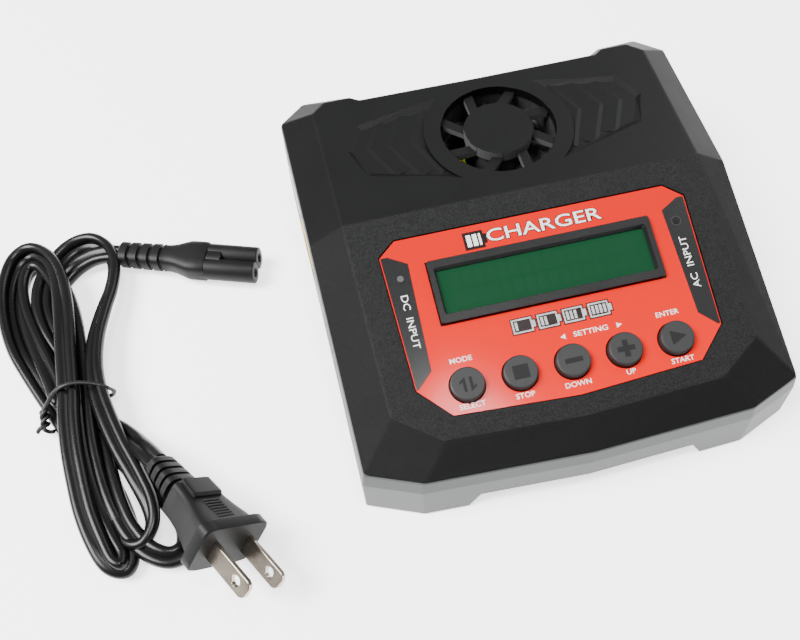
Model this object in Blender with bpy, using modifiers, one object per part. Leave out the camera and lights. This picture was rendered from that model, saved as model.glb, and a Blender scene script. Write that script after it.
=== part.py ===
"""Balance battery charger for model aircraft batteries, with its detachable power lead.

Metres, +Z up, +Y towards the back of the charger. The origin is the middle of the charger's
footprint on the surface that it stands on.
"""
import math

import bmesh
import bpy
from mathutils import Matrix, Vector

MM = 0.001
GAP = 0.3                    # clearance between touching pieces, mm

# ---- driving dimensions, mm -------------------------------------------------
HALF_WIDTH = 67.5            # half width at the seam between the two shells
FRONT = -70.4                # middle of the front edge
REAR = 72.4                  # rearmost edge of the corner blocks
HEIGHT = 36.0                # top of the flat rear deck
DECK_FRONT = 11.9            # where the flat deck ends and the sloping panel begins
PANEL_SLOPE = 0.2088         # fall of the panel per millimetre towards the front
SEAM_REAR = 30.8             # height of the seam along the deck
SEAM_FRONT = 16.0            # height of the seam at the front
WALL = 2.0
FLARE_SIDE = 1.2             # how far the base spreads at each side
FLARE_FRONT = 3.0            # how far the base spreads at the front
BAND = 11.3                  # height of the crease that divides the base into two bands
FOOT_HEIGHT = 5.6            # height of the arches between the corner feet
FLOOR = 7.8                  # inside floor of the base
PLASTIC_FOOT = 0.4           # the plastic ends this far above the surface, on rubber pads

FAN_Y = 38.5
FAN_OPENING = 18.6           # radius
FAN_HUB = 11.0               # radius of the guard's middle disc
FAN_RING = 24.0              # radius of the flat ring round the opening
SPOKES = 8
SPOKE_TURN = math.radians(-17)
SPOKE_DROP = 1.4             # how far the spokes lie below the middle disc
SPOKE_DEPTH = 1.5

BUTTON_PITCH = 16.0
BUTTON_Y = -44.2
BUTTON_RADIUS = 5.2
BUTTON_PROUD = 1.7           # height of a button above the panel
BUTTON_TRAVEL = 0.8
LED_X = 43.3
LED_Y = -8.3

PANEL_TILT = math.atan(PANEL_SLOPE)
PANEL_COS = math.cos(PANEL_TILT)

BODY = bpy.data.collections.new("balance_charger")
CUTTERS = bpy.data.collections.new("cutters")


# ---- scene and helpers ------------------------------------------------------
def clear_scene():
    for obj in list(bpy.data.objects):
        bpy.data.objects.remove(obj, do_unlink=True)
    for collection in (BODY, CUTTERS):
        bpy.context.scene.collection.children.link(collection)


def make_material(name, colour, roughness, metallic=0.0):
    mat = bpy.data.materials.new(name)
    mat.use_nodes = True
    shader = mat.node_tree.nodes["Principled BSDF"]
    shader.inputs["Base Color"].default_value = (*colour, 1.0)
    shader.inputs["Roughness"].default_value = roughness
    shader.inputs["Metallic"].default_value = metallic
    return mat


def new_object(name, bm, mat=None, smooth=None, cutter=False):
    """Turn a bmesh in millimetres into an object in metres."""
    bmesh.ops.scale(bm, vec=(MM, MM, MM), verts=bm.verts)
    bmesh.ops.recalc_face_normals(bm, faces=bm.faces)
    mesh = bpy.data.meshes.new(name)
    bm.to_mesh(mesh)
    bm.free()
    obj = bpy.data.objects.new(name, mesh)
    if smooth is not None:
        mesh.shade_smooth()
        mesh.set_sharp_from_angle(angle=math.radians(smooth))
    if mat is not None:
        mesh.materials.append(mat)
    if cutter:
        obj.hide_render = True
        obj.display_type = "WIRE"
        CUTTERS.objects.link(obj)
    else:
        BODY.objects.link(obj)
    return obj


def add_box(bm, size, centre):
    matrix = Matrix.Translation(centre) @ Matrix.Diagonal((*size, 1.0))
    bmesh.ops.create_cube(bm, size=1.0, matrix=matrix)


def box(name, size, centre, mat=None, cutter=False):
    bm = bmesh.new()
    add_box(bm, size, centre)
    return new_object(name, bm, mat, cutter=cutter)


def add_cylinder(bm, radius, z0, z1, x=0.0, y=0.0, segments=32, top_radius=None):
    top = radius if top_radius is None else top_radius
    matrix = Matrix.Translation((x, y, (z0 + z1) / 2))
    bmesh.ops.create_cone(bm, cap_ends=True, segments=segments, radius1=radius, radius2=top,
                          depth=z1 - z0, matrix=matrix)


def cylinder(name, radius, z0, z1, x=0.0, y=0.0, mat=None, cutter=False, segments=32,
             top_radius=None):
    bm = bmesh.new()
    add_cylinder(bm, radius, z0, z1, x, y, segments, top_radius)
    return new_object(name, bm, mat, smooth=40, cutter=cutter)


def add_prism(bm, outline, z0, z1, outline_top=None):
    """A closed prism, or a tapered one between two outlines with the same number of points."""
    low = [bm.verts.new((x, y, z0)) for x, y in outline]
    high = [bm.verts.new((x, y, z1)) for x, y in (outline_top or outline)]
    count = len(low)
    bm.faces.new(low[::-1])
    bm.faces.new(high)
    for i in range(count):
        j = (i + 1) % count
        bm.faces.new((low[i], low[j], high[j], high[i]))


def prism(name, outline, z0, z1, mat=None, cutter=False, outline_top=None):
    bm = bmesh.new()
    add_prism(bm, outline, z0, z1, outline_top)
    return new_object(name, bm, mat, cutter=cutter)


def loft(name, rings, mat, smooth=35):
    """A closed solid through rings that all have the same number of points."""
    bm = bmesh.new()
    loops = [[bm.verts.new(point) for point in ring] for ring in rings]
    count = len(loops[0])
    for low, high in zip(loops, loops[1:]):
        for i in range(count):
            j = (i + 1) % count
            bm.faces.new((low[i], low[j], high[j], high[i]))
    bm.faces.new(loops[0][::-1])
    bm.faces.new(loops[-1])
    return new_object(name, bm, mat, smooth=smooth)


def boolean(obj, tool, operation="DIFFERENCE"):
    mod = obj.modifiers.new(tool.name, "BOOLEAN")
    mod.operation = operation
    mod.solver = "EXACT"
    mod.object = tool


def bevel(obj, width, segments=1, angle=30):
    mod = obj.modifiers.new("soft_edges", "BEVEL")
    mod.width = width * MM
    mod.segments = segments
    mod.limit_method = "ANGLE"
    mod.angle_limit = math.radians(angle)


def mirrored(half):
    """Close a right-hand outline, front to rear, into a full one, anticlockwise."""
    left = [(-x, *rest) for x, *rest in reversed(half) if x > 0.001]
    return list(half) + left


def inset(outline, distance):
    """Offset an anticlockwise outline inwards by a distance."""
    result = []
    count = len(outline)
    for i in range(count):
        before = Vector(outline[i - 1][:2])
        here = Vector(outline[i][:2])
        after = Vector(outline[(i + 1) % count][:2])
        d0 = (here - before).normalized()
        d1 = (after - here).normalized()
        n0 = Vector((-d0.y, d0.x))
        n1 = Vector((-d1.y, d1.x))
        bisector = (n0 + n1).normalized()
        result.append(tuple(here + bisector * distance / max(bisector.dot(n0), 0.3)))
    return result


def rounded_rect(width, height, radius, corner_points=4):
    """An anticlockwise outline of a rectangle with round corners, centred on the origin."""
    points = []
    for corner, (sx, sy) in enumerate(((1, 1), (-1, 1), (-1, -1), (1, -1))):
        cx = sx * (width / 2 - radius)
        cy = sy * (height / 2 - radius)
        for step in range(corner_points):
            angle = math.pi / 2 * (corner + step / (corner_points - 1))
            points.append((cx + radius * math.cos(angle), cy + radius * math.sin(angle)))
    return points


# ---- the two shells ---------------------------------------------------------
def seam_height(y):
    """The seam is level along the deck, falls with the panel and is level at the front."""
    share = (y - SEAM_CORNER_Y) / (DECK_FRONT - SEAM_CORNER_Y)
    return SEAM_FRONT + (SEAM_REAR - SEAM_FRONT) * min(1.0, max(0.0, share))


def panel_height(y):
    return HEIGHT - PANEL_SLOPE * max(0.0, DECK_FRONT - y)


SEAM_CORNER_Y = -61.1
# right-hand halves, front to rear: the seam's outline, and the outline of the deck and panel
SEAM_HALF = [(0, FRONT), (50.8, -68.1), (HALF_WIDTH, SEAM_CORNER_Y), (HALF_WIDTH, DECK_FRONT),
             (HALF_WIDTH, 65.1), (59.0, REAR), (45.5, 71.7), (42.0, 69.3), (0, 68.9)]
TOP_HALF = [(0, -60.6), (41.8, -58.6), (55.8, -48.4), (56.4, DECK_FRONT),
            (56.5, 60.2), (51.8, 64.4), (43.2, 64.4), (40.4, 62.4), (0, 62.1)]
SEAM = mirrored(SEAM_HALF)
TOP = mirrored(TOP_HALF)
RIGHT_CORNER = 2             # index of the front corner where the seam starts to rise
RIGHT_BEND = 3               # index of the point beside the front of the deck


def seam_faces(bm, loop, flip):
    """Cap a seam outline with its level rear, sloping middle and level front."""
    count = len(loop)
    left_bend = count - RIGHT_BEND
    left_corner = count - RIGHT_CORNER
    patches = [loop[RIGHT_BEND:left_bend + 1],
               [loop[RIGHT_CORNER], loop[RIGHT_BEND], loop[left_bend], loop[left_corner]],
               [loop[0], loop[1], loop[RIGHT_CORNER], loop[left_corner], loop[-1]]]
    for patch in patches:
        bm.faces.new(patch[::-1] if flip else patch)


def lid_solid(name, thickness, extra_depth, mat=None, cutter=False):
    """The faceted lid as a solid, inset all round by a thickness and reaching below its seam."""
    bm = bmesh.new()
    top = inset(TOP, thickness * 0.55) if thickness else TOP
    seam = inset(SEAM, thickness * 1.15) if thickness else SEAM
    high = [bm.verts.new((x, y, panel_height(y) - thickness)) for x, y in top]
    low = [bm.verts.new((x, y, seam_height(y) - extra_depth)) for x, y in seam]
    count = len(high)
    for i in range(count):
        j = (i + 1) % count
        bm.faces.new((low[i], low[j], high[j], high[i]))
    left_bend = count - RIGHT_BEND
    bm.faces.new(high[RIGHT_BEND:left_bend + 1])
    bm.faces.new(high[:RIGHT_BEND + 1] + high[left_bend:])
    seam_faces(bm, low, flip=True)
    return new_object(name, bm, mat, cutter=cutter)


def spread(outline, side, front):
    """Widen an outline at its sides and at its front."""
    result = []
    for x, y in outline:
        grow_y = 1 + front / -FRONT if y < 0 else 1.0
        result.append((x * (1 + side / HALF_WIDTH), y * grow_y))
    return result


def fan_slots():
    """The openings between the guard's swirled spokes, as one cutter."""
    bm = bmesh.new()
    half_inner = math.radians(14.0)
    half_outer = math.radians(17.5)
    swirl = math.radians(-11.0)
    steps = 5
    for slot in range(SPOKES):
        middle = math.tau * (slot + 0.5) / SPOKES + SPOKE_TURN
        outer = []
        inner = []
        for step in range(steps):
            share = step / (steps - 1) * 2 - 1
            a_out = middle + swirl + share * half_outer
            a_in = middle + share * half_inner
            outer.append((FAN_OPENING * math.cos(a_out), FAN_OPENING * math.sin(a_out) + FAN_Y))
            inner.append((FAN_HUB * math.cos(a_in), FAN_HUB * math.sin(a_in) + FAN_Y))
        add_prism(bm, outer + inner[::-1], HEIGHT - 2 * WALL, HEIGHT + 1)
    return new_object("cut_fan_slots", bm, cutter=True)


def add_guard(shell):
    """The fan guard: a bed under the deck, its spokes sunk below the disc, and the openings."""
    low = HEIGHT - SPOKE_DROP - SPOKE_DEPTH
    boolean(shell, cylinder("add_guard_disc", FAN_OPENING - 0.1, low, HEIGHT - 1, y=FAN_Y,
                            cutter=True, segments=96), "UNION")
    boolean(shell, cylinder("add_guard_collar", FAN_OPENING + 3, HEIGHT - WALL - 0.25,
                            HEIGHT - 1.2, y=FAN_Y, cutter=True, segments=96), "UNION")
    sunk = cylinder("cut_spoke_tops", FAN_OPENING - 0.15, HEIGHT - SPOKE_DROP, HEIGHT + 2,
                    y=FAN_Y, cutter=True, segments=96)
    boolean(sunk, cylinder("cut_disc_clear", FAN_HUB + 0.15, HEIGHT - 4, HEIGHT + 3, y=FAN_Y,
                           cutter=True, segments=96))
    boolean(shell, sunk)
    boolean(shell, fan_slots())


RECESS_OUTER = [(13.2, 18.4), (45.6, 28.2), (49.8, 41.4), (44.3, 51.9), (14.0, 58.4)]
RECESS_INNER = [(15.0, 23.0), (42.9, 31.0), (47.2, 40.9), (42.5, 49.7), (15.0, 53.8)]
RECESS_DEPTH = 0.9


def deck_recess():
    """The shallow six-sided recess on both sides of the fan, without the fan's own ring."""
    cutter = prism("cut_deck_recess", mirrored(RECESS_INNER), HEIGHT - RECESS_DEPTH, HEIGHT + 0.5,
                   cutter=True, outline_top=mirrored(RECESS_OUTER))
    ring = cylinder("cut_fan_ring", FAN_RING, HEIGHT - 3, HEIGHT + 2, y=FAN_Y, cutter=True,
                    segments=64)
    boolean(cutter, ring)
    return cutter


# overlay label, in panel coordinates: x, and distance up the slope from the deck's edge
def on_panel(x, y):
    return (x, (y - DECK_FRONT) / PANEL_COS)


LABEL_HALF = [on_panel(0, -54.2), on_panel(38.0, -52.0), on_panel(46.9, -42.6),
              on_panel(48.0, -0.8), on_panel(42.4, 3.7), on_panel(0, 3.7)]
BEZEL_TOP = on_panel(0, -5.2)[1]
BEZEL_BOTTOM = on_panel(0, -24.9)[1]
BEZEL_SIZE = (69.6, BEZEL_TOP - BEZEL_BOTTOM)
BEZEL_MIDDLE = (BEZEL_TOP + BEZEL_BOTTOM) / 2
WINDOW_SIZE = (63.6, 12.4)
WINDOW_MIDDLE = on_panel(0, -15.0)[1]
BUTTON_V = on_panel(0, BUTTON_Y)[1]
LED_V = on_panel(0, LED_Y)[1]
LABEL_RECESS = 0.5
LABEL_THICKNESS = 0.25
BUTTON_XS = [BUTTON_PITCH * (i - 2) for i in range(5)]
BUTTON_NAMES = ["channel", "stop", "minus", "plus", "start"]
SCREWS = [(48, -52), (-48, -52), (53, 52), (-53, 52)]
PADS = [(52, -61.5), (-52, -61.5), (56, 62.5), (-56, 62.5)]
BOSS_BOTTOM = 14.0


def panel_frame():
    """An empty at the deck's front edge whose XY plane is the sloping panel."""
    frame = bpy.data.objects.new("panel_frame", None)
    frame.location = (0, DECK_FRONT * MM, HEIGHT * MM)
    frame.rotation_euler = (PANEL_TILT, 0, 0)
    CUTTERS.objects.link(frame)
    return frame


def panel_cutters(frame):
    """Everything that is cut through the panel, in panel coordinates."""
    label = mirrored(LABEL_HALF)
    cutters = [prism("cut_label_recess", inset(label, -0.4), -LABEL_RECESS, 2, cutter=True)]
    cutters.append(box("cut_window", (BEZEL_SIZE[0] - 2.0, BEZEL_SIZE[1] - 2.0, 10),
                       (0, BEZEL_MIDDLE, 0), cutter=True))
    bm = bmesh.new()
    for x in BUTTON_XS:
        add_cylinder(bm, BUTTON_RADIUS + 0.35, -6, 2, x, BUTTON_V)
    for side in (-1, 1):
        add_cylinder(bm, 1.3, -6, 2, side * LED_X, LED_V, segments=16)
    cutters.append(new_object("cut_button_holes", bm, cutter=True))
    for cutter in cutters:
        cutter.parent = frame
    return cutters


def build_top_shell(frame, mat):
    shell = lid_solid("top_shell", 0.0, 0.0, mat)
    bevel(shell, 0.5, segments=2, angle=8)
    hollow = lid_solid("cut_lid_hollow", WALL, 3.0, cutter=True)
    boolean(shell, hollow)
    bosses = bmesh.new()
    pilots = bmesh.new()
    for x, y in SCREWS:
        top = panel_height(y) - WALL * 0.6
        add_cylinder(bosses, 3.2, BOSS_BOTTOM, top, x, y, segments=20)
        add_cylinder(pilots, 1.5, BOSS_BOTTOM - 1, top - 2.0, x, y, segments=14)
    boolean(shell, new_object("add_screw_bosses", bosses, cutter=True), "UNION")
    boolean(shell, new_object("cut_pilot_holes", pilots, cutter=True))
    boolean(shell, deck_recess())
    add_guard(shell)
    for cutter in panel_cutters(frame):
        boolean(shell, cutter)
    return shell


def arch(name, half_top, half_bottom, along_x):
    """The trapezoid that is cut from below between two feet."""
    bm = bmesh.new()
    length = 100.0
    section = [(-half_bottom - 2, -2.5), (half_bottom + 2, -2.5), (half_top, FOOT_HEIGHT),
               (-half_top, FOOT_HEIGHT)]
    ends = []
    for end in (-length, length):
        if along_x:
            ends.append([bm.verts.new((end, u, z)) for u, z in section])
        else:
            ends.append([bm.verts.new((u, end, z)) for u, z in section])
    for i in range(4):
        j = (i + 1) % 4
        bm.faces.new((ends[0][i], ends[0][j], ends[1][j], ends[1][i]))
    bm.faces.new(ends[0][::-1])
    bm.faces.new(ends[1])
    return new_object(name, bm, cutter=True)


# sockets: (x, y, z) of the middle of the opening in the outer wall, and the way out
SOCKET_Z = 18.6
AC_INLET_X = -20.0
DC_INPUT_X = 20.0
REAR_WALL = 69.1
OUTPUT_Y = 22.0
BALANCE_Y = 46.0
SIDE_WALL = HALF_WIDTH
VENT_COUNT = 7
VENT_PITCH = 4.0


def build_bottom_shell(mat):
    bm = bmesh.new()
    base = spread(SEAM, FLARE_SIDE, FLARE_FRONT)
    band = spread(SEAM, FLARE_SIDE * 0.8, 1.0)
    rings = [[bm.verts.new((x, y, PLASTIC_FOOT)) for x, y in base],
             [bm.verts.new((x, y, BAND)) for x, y in band],
             [bm.verts.new((x, y, seam_height(y) - GAP)) for x, y in SEAM]]
    count = len(SEAM)
    for low, high in zip(rings, rings[1:]):
        for i in range(count):
            j = (i + 1) % count
            bm.faces.new((low[i], low[j], high[j], high[i]))
    bm.faces.new(rings[0][::-1])
    seam_faces(bm, rings[-1], flip=False)
    shell = new_object("bottom_shell", bm, mat)
    bevel(shell, 0.35, segments=1, angle=12)
    cavity = inset(SEAM, WALL)
    boolean(shell, prism("cut_base_cavity", cavity, FLOOR, HEIGHT + 5, cutter=True))
    boolean(shell, arch("cut_arch_front", 34.0, 38.2, along_x=False))
    boolean(shell, arch("cut_arch_side", 33.0, 37.2, along_x=True))
    holes = bmesh.new()
    for x, y in SCREWS:
        add_cylinder(holes, 3.3, -1, 4.4, x, y, segments=20)
    boolean(shell, new_object("cut_screw_heads", holes, cutter=True))
    shanks = bmesh.new()
    for x, y in SCREWS:
        add_cylinder(shanks, 1.6, 4, FLOOR + 2, x, y, segments=14)
    boolean(shell, new_object("cut_screw_shanks", shanks, cutter=True))
    pads = bmesh.new()
    for x, y in PADS:
        add_cylinder(pads, 4.9, -1, 1.5, x, y, segments=24)
    boolean(shell, new_object("cut_pads", pads, cutter=True))
    openings = bmesh.new()
    add_box(openings, (24.6, 12, 10.6), (AC_INLET_X, REAR_WALL, SOCKET_Z))
    add_box(openings, (18.6, 12, 10.6), (DC_INPUT_X, REAR_WALL, SOCKET_Z))
    for side in (-1, 1):
        add_box(openings, (14, 18.6, 10.6), (side * SIDE_WALL, OUTPUT_Y, SOCKET_Z))
        add_box(openings, (14, 22.6, 8.2), (side * SIDE_WALL, BALANCE_Y, SOCKET_Z))
        for i in range(VENT_COUNT):
            add_box(openings, (14, 2.0, 6.0), (side * SIDE_WALL, -4 - VENT_PITCH * i, 16.0))
    boolean(shell, new_object("cut_openings", openings, cutter=True))
    return shell


# ---- sockets ----------------------------------------------------------------
def socket(name, face, size, depth, pins, pin_radius, pin_length, mat, place, recess):
    """A panel socket that opens along +X in its own frame: a flanged block with a deep recess
    and contact pins that stand on the recess floor."""
    width, height = size
    bm = bmesh.new()
    add_box(bm, (depth, width, height), (-depth / 2, 0, 0))
    obj = new_object(name, bm, mat)
    bevel(obj, 0.3)
    hollow = box("cut_" + name, (depth - 1.6, width - 2 * recess, height - 2 * recess),
                 (-(depth - 1.6) / 2 + 0.01, 0, 0), cutter=True)
    hollow.location = Vector(place) * MM
    hollow.rotation_euler = (0, 0, face)
    boolean(obj, hollow)
    bm = bmesh.new()
    for offset in pins:
        matrix = (Matrix.Translation((-depth + 1.0 + pin_length / 2, offset, 0))
                  @ Matrix.Rotation(math.pi / 2, 4, "Y"))
        bmesh.ops.create_cone(bm, cap_ends=True, segments=12, radius1=pin_radius,
                              radius2=pin_radius, depth=pin_length, matrix=matrix)
    contact = new_object("add_pins_" + name, bm, cutter=True)
    contact.location = Vector(place) * MM
    contact.rotation_euler = (0, 0, face)
    boolean(obj, contact, "UNION")
    obj.location = Vector(place) * MM
    obj.rotation_euler = (0, 0, face)
    return obj


def build_sockets(black, yellow, white):
    back = math.pi / 2
    socket("ac_inlet", back, (24.0, 10.0), 17.0, (-4.3, 4.3), 1.2, 10.0, black,
           (AC_INLET_X, REAR_WALL + 0.3, SOCKET_Z), recess=1.5)
    socket("dc_input", back, (18.0, 10.0), 15.0, (-3.6, 3.6), 1.6, 9.0, yellow,
           (DC_INPUT_X, REAR_WALL + 0.3, SOCKET_Z), recess=1.4)
    for label, side, face in (("a", -1, math.pi), ("b", 1, 0.0)):
        wall = side * (SIDE_WALL + 0.6)
        socket("output_socket_" + label, face, (18.0, 10.0), 15.0, (-3.6, 3.6), 1.6, 9.0, yellow,
               (wall, OUTPUT_Y, SOCKET_Z), recess=1.4)
        pins = [2.5 * (i - 3) for i in range(7)]
        socket("balance_port_" + label, face, (22.0, 7.6), 9.5, pins, 0.4, 3.4, white,
               (wall, BALANCE_Y, SOCKET_Z), recess=1.3)


# ---- panel pieces -----------------------------------------------------------
def build_label(frame, mat):
    label = prism("overlay_label", mirrored(LABEL_HALF), -LABEL_RECESS + 0.1,
                  -LABEL_RECESS + 0.1 + LABEL_THICKNESS, mat)
    label.parent = frame
    window = box("cut_label_window", (BEZEL_SIZE[0] + 0.6, BEZEL_SIZE[1] + 0.6, 4),
                 (0, BEZEL_MIDDLE, 0), cutter=True)
    window.parent = frame
    boolean(label, window)
    bm = bmesh.new()
    for x in BUTTON_XS:
        add_cylinder(bm, BUTTON_RADIUS + 0.35, -3, 2, x, BUTTON_V)
    for side in (-1, 1):
        add_cylinder(bm, 1.3, -3, 2, side * LED_X, LED_V, segments=16)
    holes = new_object("cut_label_holes", bm, cutter=True)
    holes.parent = frame
    boolean(label, holes)


def build_display(frame, black, steel, green, board):
    outer = rounded_rect(BEZEL_SIZE[0], BEZEL_SIZE[1], 0.8, 3)
    inner_top = rounded_rect(WINDOW_SIZE[0] + 3.0, WINDOW_SIZE[1] + 3.0, 0.6, 3)
    inner_low = rounded_rect(*WINDOW_SIZE, 0.4, 3)
    shift = [(x, y + BEZEL_MIDDLE) for x, y in outer]
    bezel = prism("lcd_bezel", shift, -0.15, 0.9, black)
    bezel.parent = frame
    funnel = prism("cut_bezel", [(x, y + WINDOW_MIDDLE) for x, y in inner_low], -1.5, 1.2,
                   cutter=True, outline_top=[(x, y + WINDOW_MIDDLE) for x, y in inner_top])
    funnel.parent = frame
    boolean(bezel, funnel)
    glass = box("lcd_glass", (BEZEL_SIZE[0] - 2.8, BEZEL_SIZE[1] - 2.8, 1.1),
                (0, BEZEL_MIDDLE, -1.0), green)
    glass.parent = frame
    module = box("lcd_module", (80.0, 24.0, 5.0), (0, BEZEL_MIDDLE, -WALL - 0.6 - 2.5), steel)
    module.parent = frame
    carrier = box("button_board", (96.0, 49.0, 1.2), (0, -37.0, -9.6), board)
    carrier.parent = frame


def build_buttons(frame, black, switch_mat):
    for name, x in zip(BUTTON_NAMES, BUTTON_XS):
        top = BUTTON_PROUD
        bm = bmesh.new()
        add_cylinder(bm, BUTTON_RADIUS, -4.6, top, segments=32)
        button = new_object("button_" + name, bm, black, smooth=40)
        bevel(button, 0.5, segments=2, angle=40)
        button.parent = frame
        button.location = Vector((x, BUTTON_V, 0)) * MM
        switch = box("switch_" + name, (6.0, 6.0, 2.9), (0, 0, -9.0 + GAP + 1.45), switch_mat)
        bevel(switch, 0.3)
        switch.parent = frame
        switch.location = Vector((x, BUTTON_V, 0)) * MM


def build_light_pipes(frame, clear):
    for label, side in (("left", -1), ("right", 1)):
        pipe = cylinder("light_pipe_" + label, 1.0, -8.5, 0.0, side * LED_X, LED_V, clear,
                        segments=16)
        pipe.parent = frame


# ---- inside -----------------------------------------------------------------
BOARD_Z = 11.4
BOARD_TOP = BOARD_Z + 1.6
FAN_TOP = HEIGHT - WALL - 0.6


def build_fan(black):
    half = 20.0
    frame = box("fan_frame", (2 * half, 2 * half, 9.6), (0, FAN_Y, FAN_TOP - 4.8), black)
    bevel(frame, 1.2)
    bore = cylinder("cut_fan_bore", 18.9, FAN_TOP - 8.4, FAN_TOP + 1, y=FAN_Y, cutter=True,
                    segments=48)
    boolean(frame, bore)
    drain = bmesh.new()
    for i in range(4):
        middle = math.tau * i / 4
        points = []
        for radius, sign in ((17.6, 1), (9.0, -1)):
            for step in range(5):
                angle = middle + sign * math.radians(-34 + 17 * step)
                points.append((radius * math.cos(angle), radius * math.sin(angle) + FAN_Y))
        add_prism(drain, points, FAN_TOP - 11, FAN_TOP - 8)
    boolean(frame, new_object("cut_fan_outlets", drain, cutter=True))
    rotor = cylinder("fan_rotor", 10.4, -3.4, 3.6, mat=black, segments=28)
    rotor.location = Vector((0, FAN_Y, FAN_TOP - 4.4)) * MM
    blades = bmesh.new()
    count = 7
    for i in range(count):
        angle = math.tau * i / count
        matrix = (Matrix.Rotation(angle, 4, "Z") @ Matrix.Translation((13.6, 0, 0))
                  @ Matrix.Rotation(math.radians(38), 4, "X"))
        bmesh.ops.create_cube(blades, size=1.0, matrix=matrix @ Matrix.Diagonal((8.6, 8.6, 0.9, 1)))
    tool = new_object("add_fan_blades", blades, cutter=True)
    tool.location = rotor.location
    boolean(rotor, tool, "UNION")


def build_electronics(board, ferrite, tape, alu, can):
    main_board = box("main_board", (118.0, 108.0, 1.6), (0, -4.0, BOARD_Z + 0.8), board)
    notches = bmesh.new()
    for x, y in SCREWS[:2]:
        add_cylinder(notches, 1.8, BOARD_Z - 1, BOARD_TOP + 1, x, y, segments=14)
    boolean(main_board, new_object("cut_board_holes", notches, cutter=True))
    cylinder_spots = [(44, 34), (-44, 34), (40, -40), (-40, -40)]
    for i, (x, y) in enumerate(cylinder_spots):
        cylinder("board_standoff_%d" % (i + 1), 2.6, FLOOR + GAP, BOARD_Z - GAP, x, y, alu,
                 segments=16)
    core = box("transformer_core", (26.0, 24.0, 9.6), (-31.5, 30.0, BOARD_TOP + GAP + 4.8), ferrite)
    bevel(core, 0.5)
    core_slot = box("cut_core", (16.8, 30.0, 7.0), (-31.5, 30.0, BOARD_TOP + GAP + 4.8),
                    cutter=True)
    boolean(core, core_slot)
    winding = box("transformer_winding", (16.2, 27.0, 6.4), (-31.5, 30.0, BOARD_TOP + GAP + 4.8),
                  tape)
    bevel(winding, 1.0)
    cylinder("bulk_capacitor", 7.5, BOARD_TOP + GAP, BOARD_TOP + 16.5, 34.0, 18.0, can, segments=28)
    cylinder("output_capacitor_a", 4.0, BOARD_TOP + GAP, BOARD_TOP + 5.5, -36.0, -12.0, can,
             segments=20)
    cylinder("output_capacitor_b", 4.0, BOARD_TOP + GAP, BOARD_TOP + 5.5, 36.0, -12.0, can,
             segments=20)
    for label, x in (("a", -48.0), ("b", 48.0)):
        sink = box("heat_sink_" + label, (6.0, 30.0, 7.0), (x, 5.0, BOARD_TOP + GAP + 3.5), alu)
        fins = bmesh.new()
        for i in range(6):
            add_box(fins, (5.0, 2.4, 6.0), (x + math.copysign(2.4, x), -5.8 + 4.4 * i,
                                            BOARD_TOP + GAP + 5.0))
        boolean(sink, new_object("cut_fins_" + label, fins, cutter=True))


def build_fasteners(steel, rubber):
    for i, (x, y) in enumerate(SCREWS):
        tip = panel_height(y) - WALL - 2.2
        bm = bmesh.new()
        add_cylinder(bm, 2.8, 1.6, 3.9, x, y, segments=20)
        screw = new_object("case_screw_%d" % (i + 1), bm, steel, smooth=40)
        shank = cylinder("add_shank_%d" % (i + 1), 1.2, 3.0, tip, x, y, cutter=True, segments=14)
        boolean(screw, shank, "UNION")
        boolean(screw, cylinder("cut_drive_%d" % (i + 1), 1.5, 1.0, 2.7, x, y, cutter=True,
                                segments=6))
    for i, (x, y) in enumerate(PADS):
        pad = cylinder("rubber_foot_%d" % (i + 1), 4.5, 0.0, 1.2, x, y, rubber, segments=24)
        bevel(pad, 0.2, angle=50)


# ---- the detachable power lead ----------------------------------------------
CORD_THICKNESS = 3.6         # of the flat two-core cord, which is 7 mm wide
HANK_AXIS = [(-159.0, 48.5, 18.5), (-157.5, 36.0, 17.5), (-154.0, 20.0, 13.0),
             (-151.0, 2.0, 9.6), (-148.5, -14.0, 9.8), (-147.0, -32.0, 10.0),
             (-144.5, -54.0, 10.4)]
HANK_BOTTOM = 0.4
HANK_TOP = 10.6
TIE_PLACE = (-150.6, -4.6)
TIE_TURN = math.radians(-6)
TIE_PROUD = 2.2              # height of the tie above the folded cord


def hank_outline():
    """The outline of the folded and tied cord, with round ends."""
    right = []
    left = []
    for i, (x, y, half) in enumerate(HANK_AXIS):
        ahead = Vector(HANK_AXIS[min(i + 1, len(HANK_AXIS) - 1)][:2])
        behind = Vector(HANK_AXIS[max(i - 1, 0)][:2])
        along = (ahead - behind).normalized()
        across = Vector((-along.y, along.x))
        right.append(tuple(Vector((x, y)) + across * half))
        left.append(tuple(Vector((x, y)) - across * half))

    def cap(index, direction):
        x, y, half = HANK_AXIS[index]
        other = Vector(HANK_AXIS[index + direction][:2])
        outward = (Vector((x, y)) - other).normalized()
        across = Vector((-outward.y, outward.x))
        middle = Vector((x, y))
        steps = [math.pi * k / 8 for k in range(1, 8)]
        return [tuple(middle - across * half * math.cos(a) + outward * half * math.sin(a))
                for a in steps]

    outline = right + cap(len(HANK_AXIS) - 1, -1)[::-1] + left[::-1] + cap(0, 1)[::-1]
    area = sum(outline[i - 1][0] * outline[i][1] - outline[i][0] * outline[i - 1][1]
               for i in range(len(outline)))
    return outline if area > 0 else outline[::-1]


def tube(name, points, radius, mat):
    curve = bpy.data.curves.new(name, "CURVE")
    curve.dimensions = "3D"
    curve.bevel_depth = radius * MM
    curve.bevel_resolution = 2
    curve.use_fill_caps = True
    spline = curve.splines.new("POLY")
    spline.points.add(len(points) - 1)
    for target, point in zip(spline.points, points):
        target.co = (*(Vector(point) * MM), 1.0)
    curve.materials.append(mat)
    obj = bpy.data.objects.new(name, curve)
    BODY.objects.link(obj)
    return obj


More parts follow.
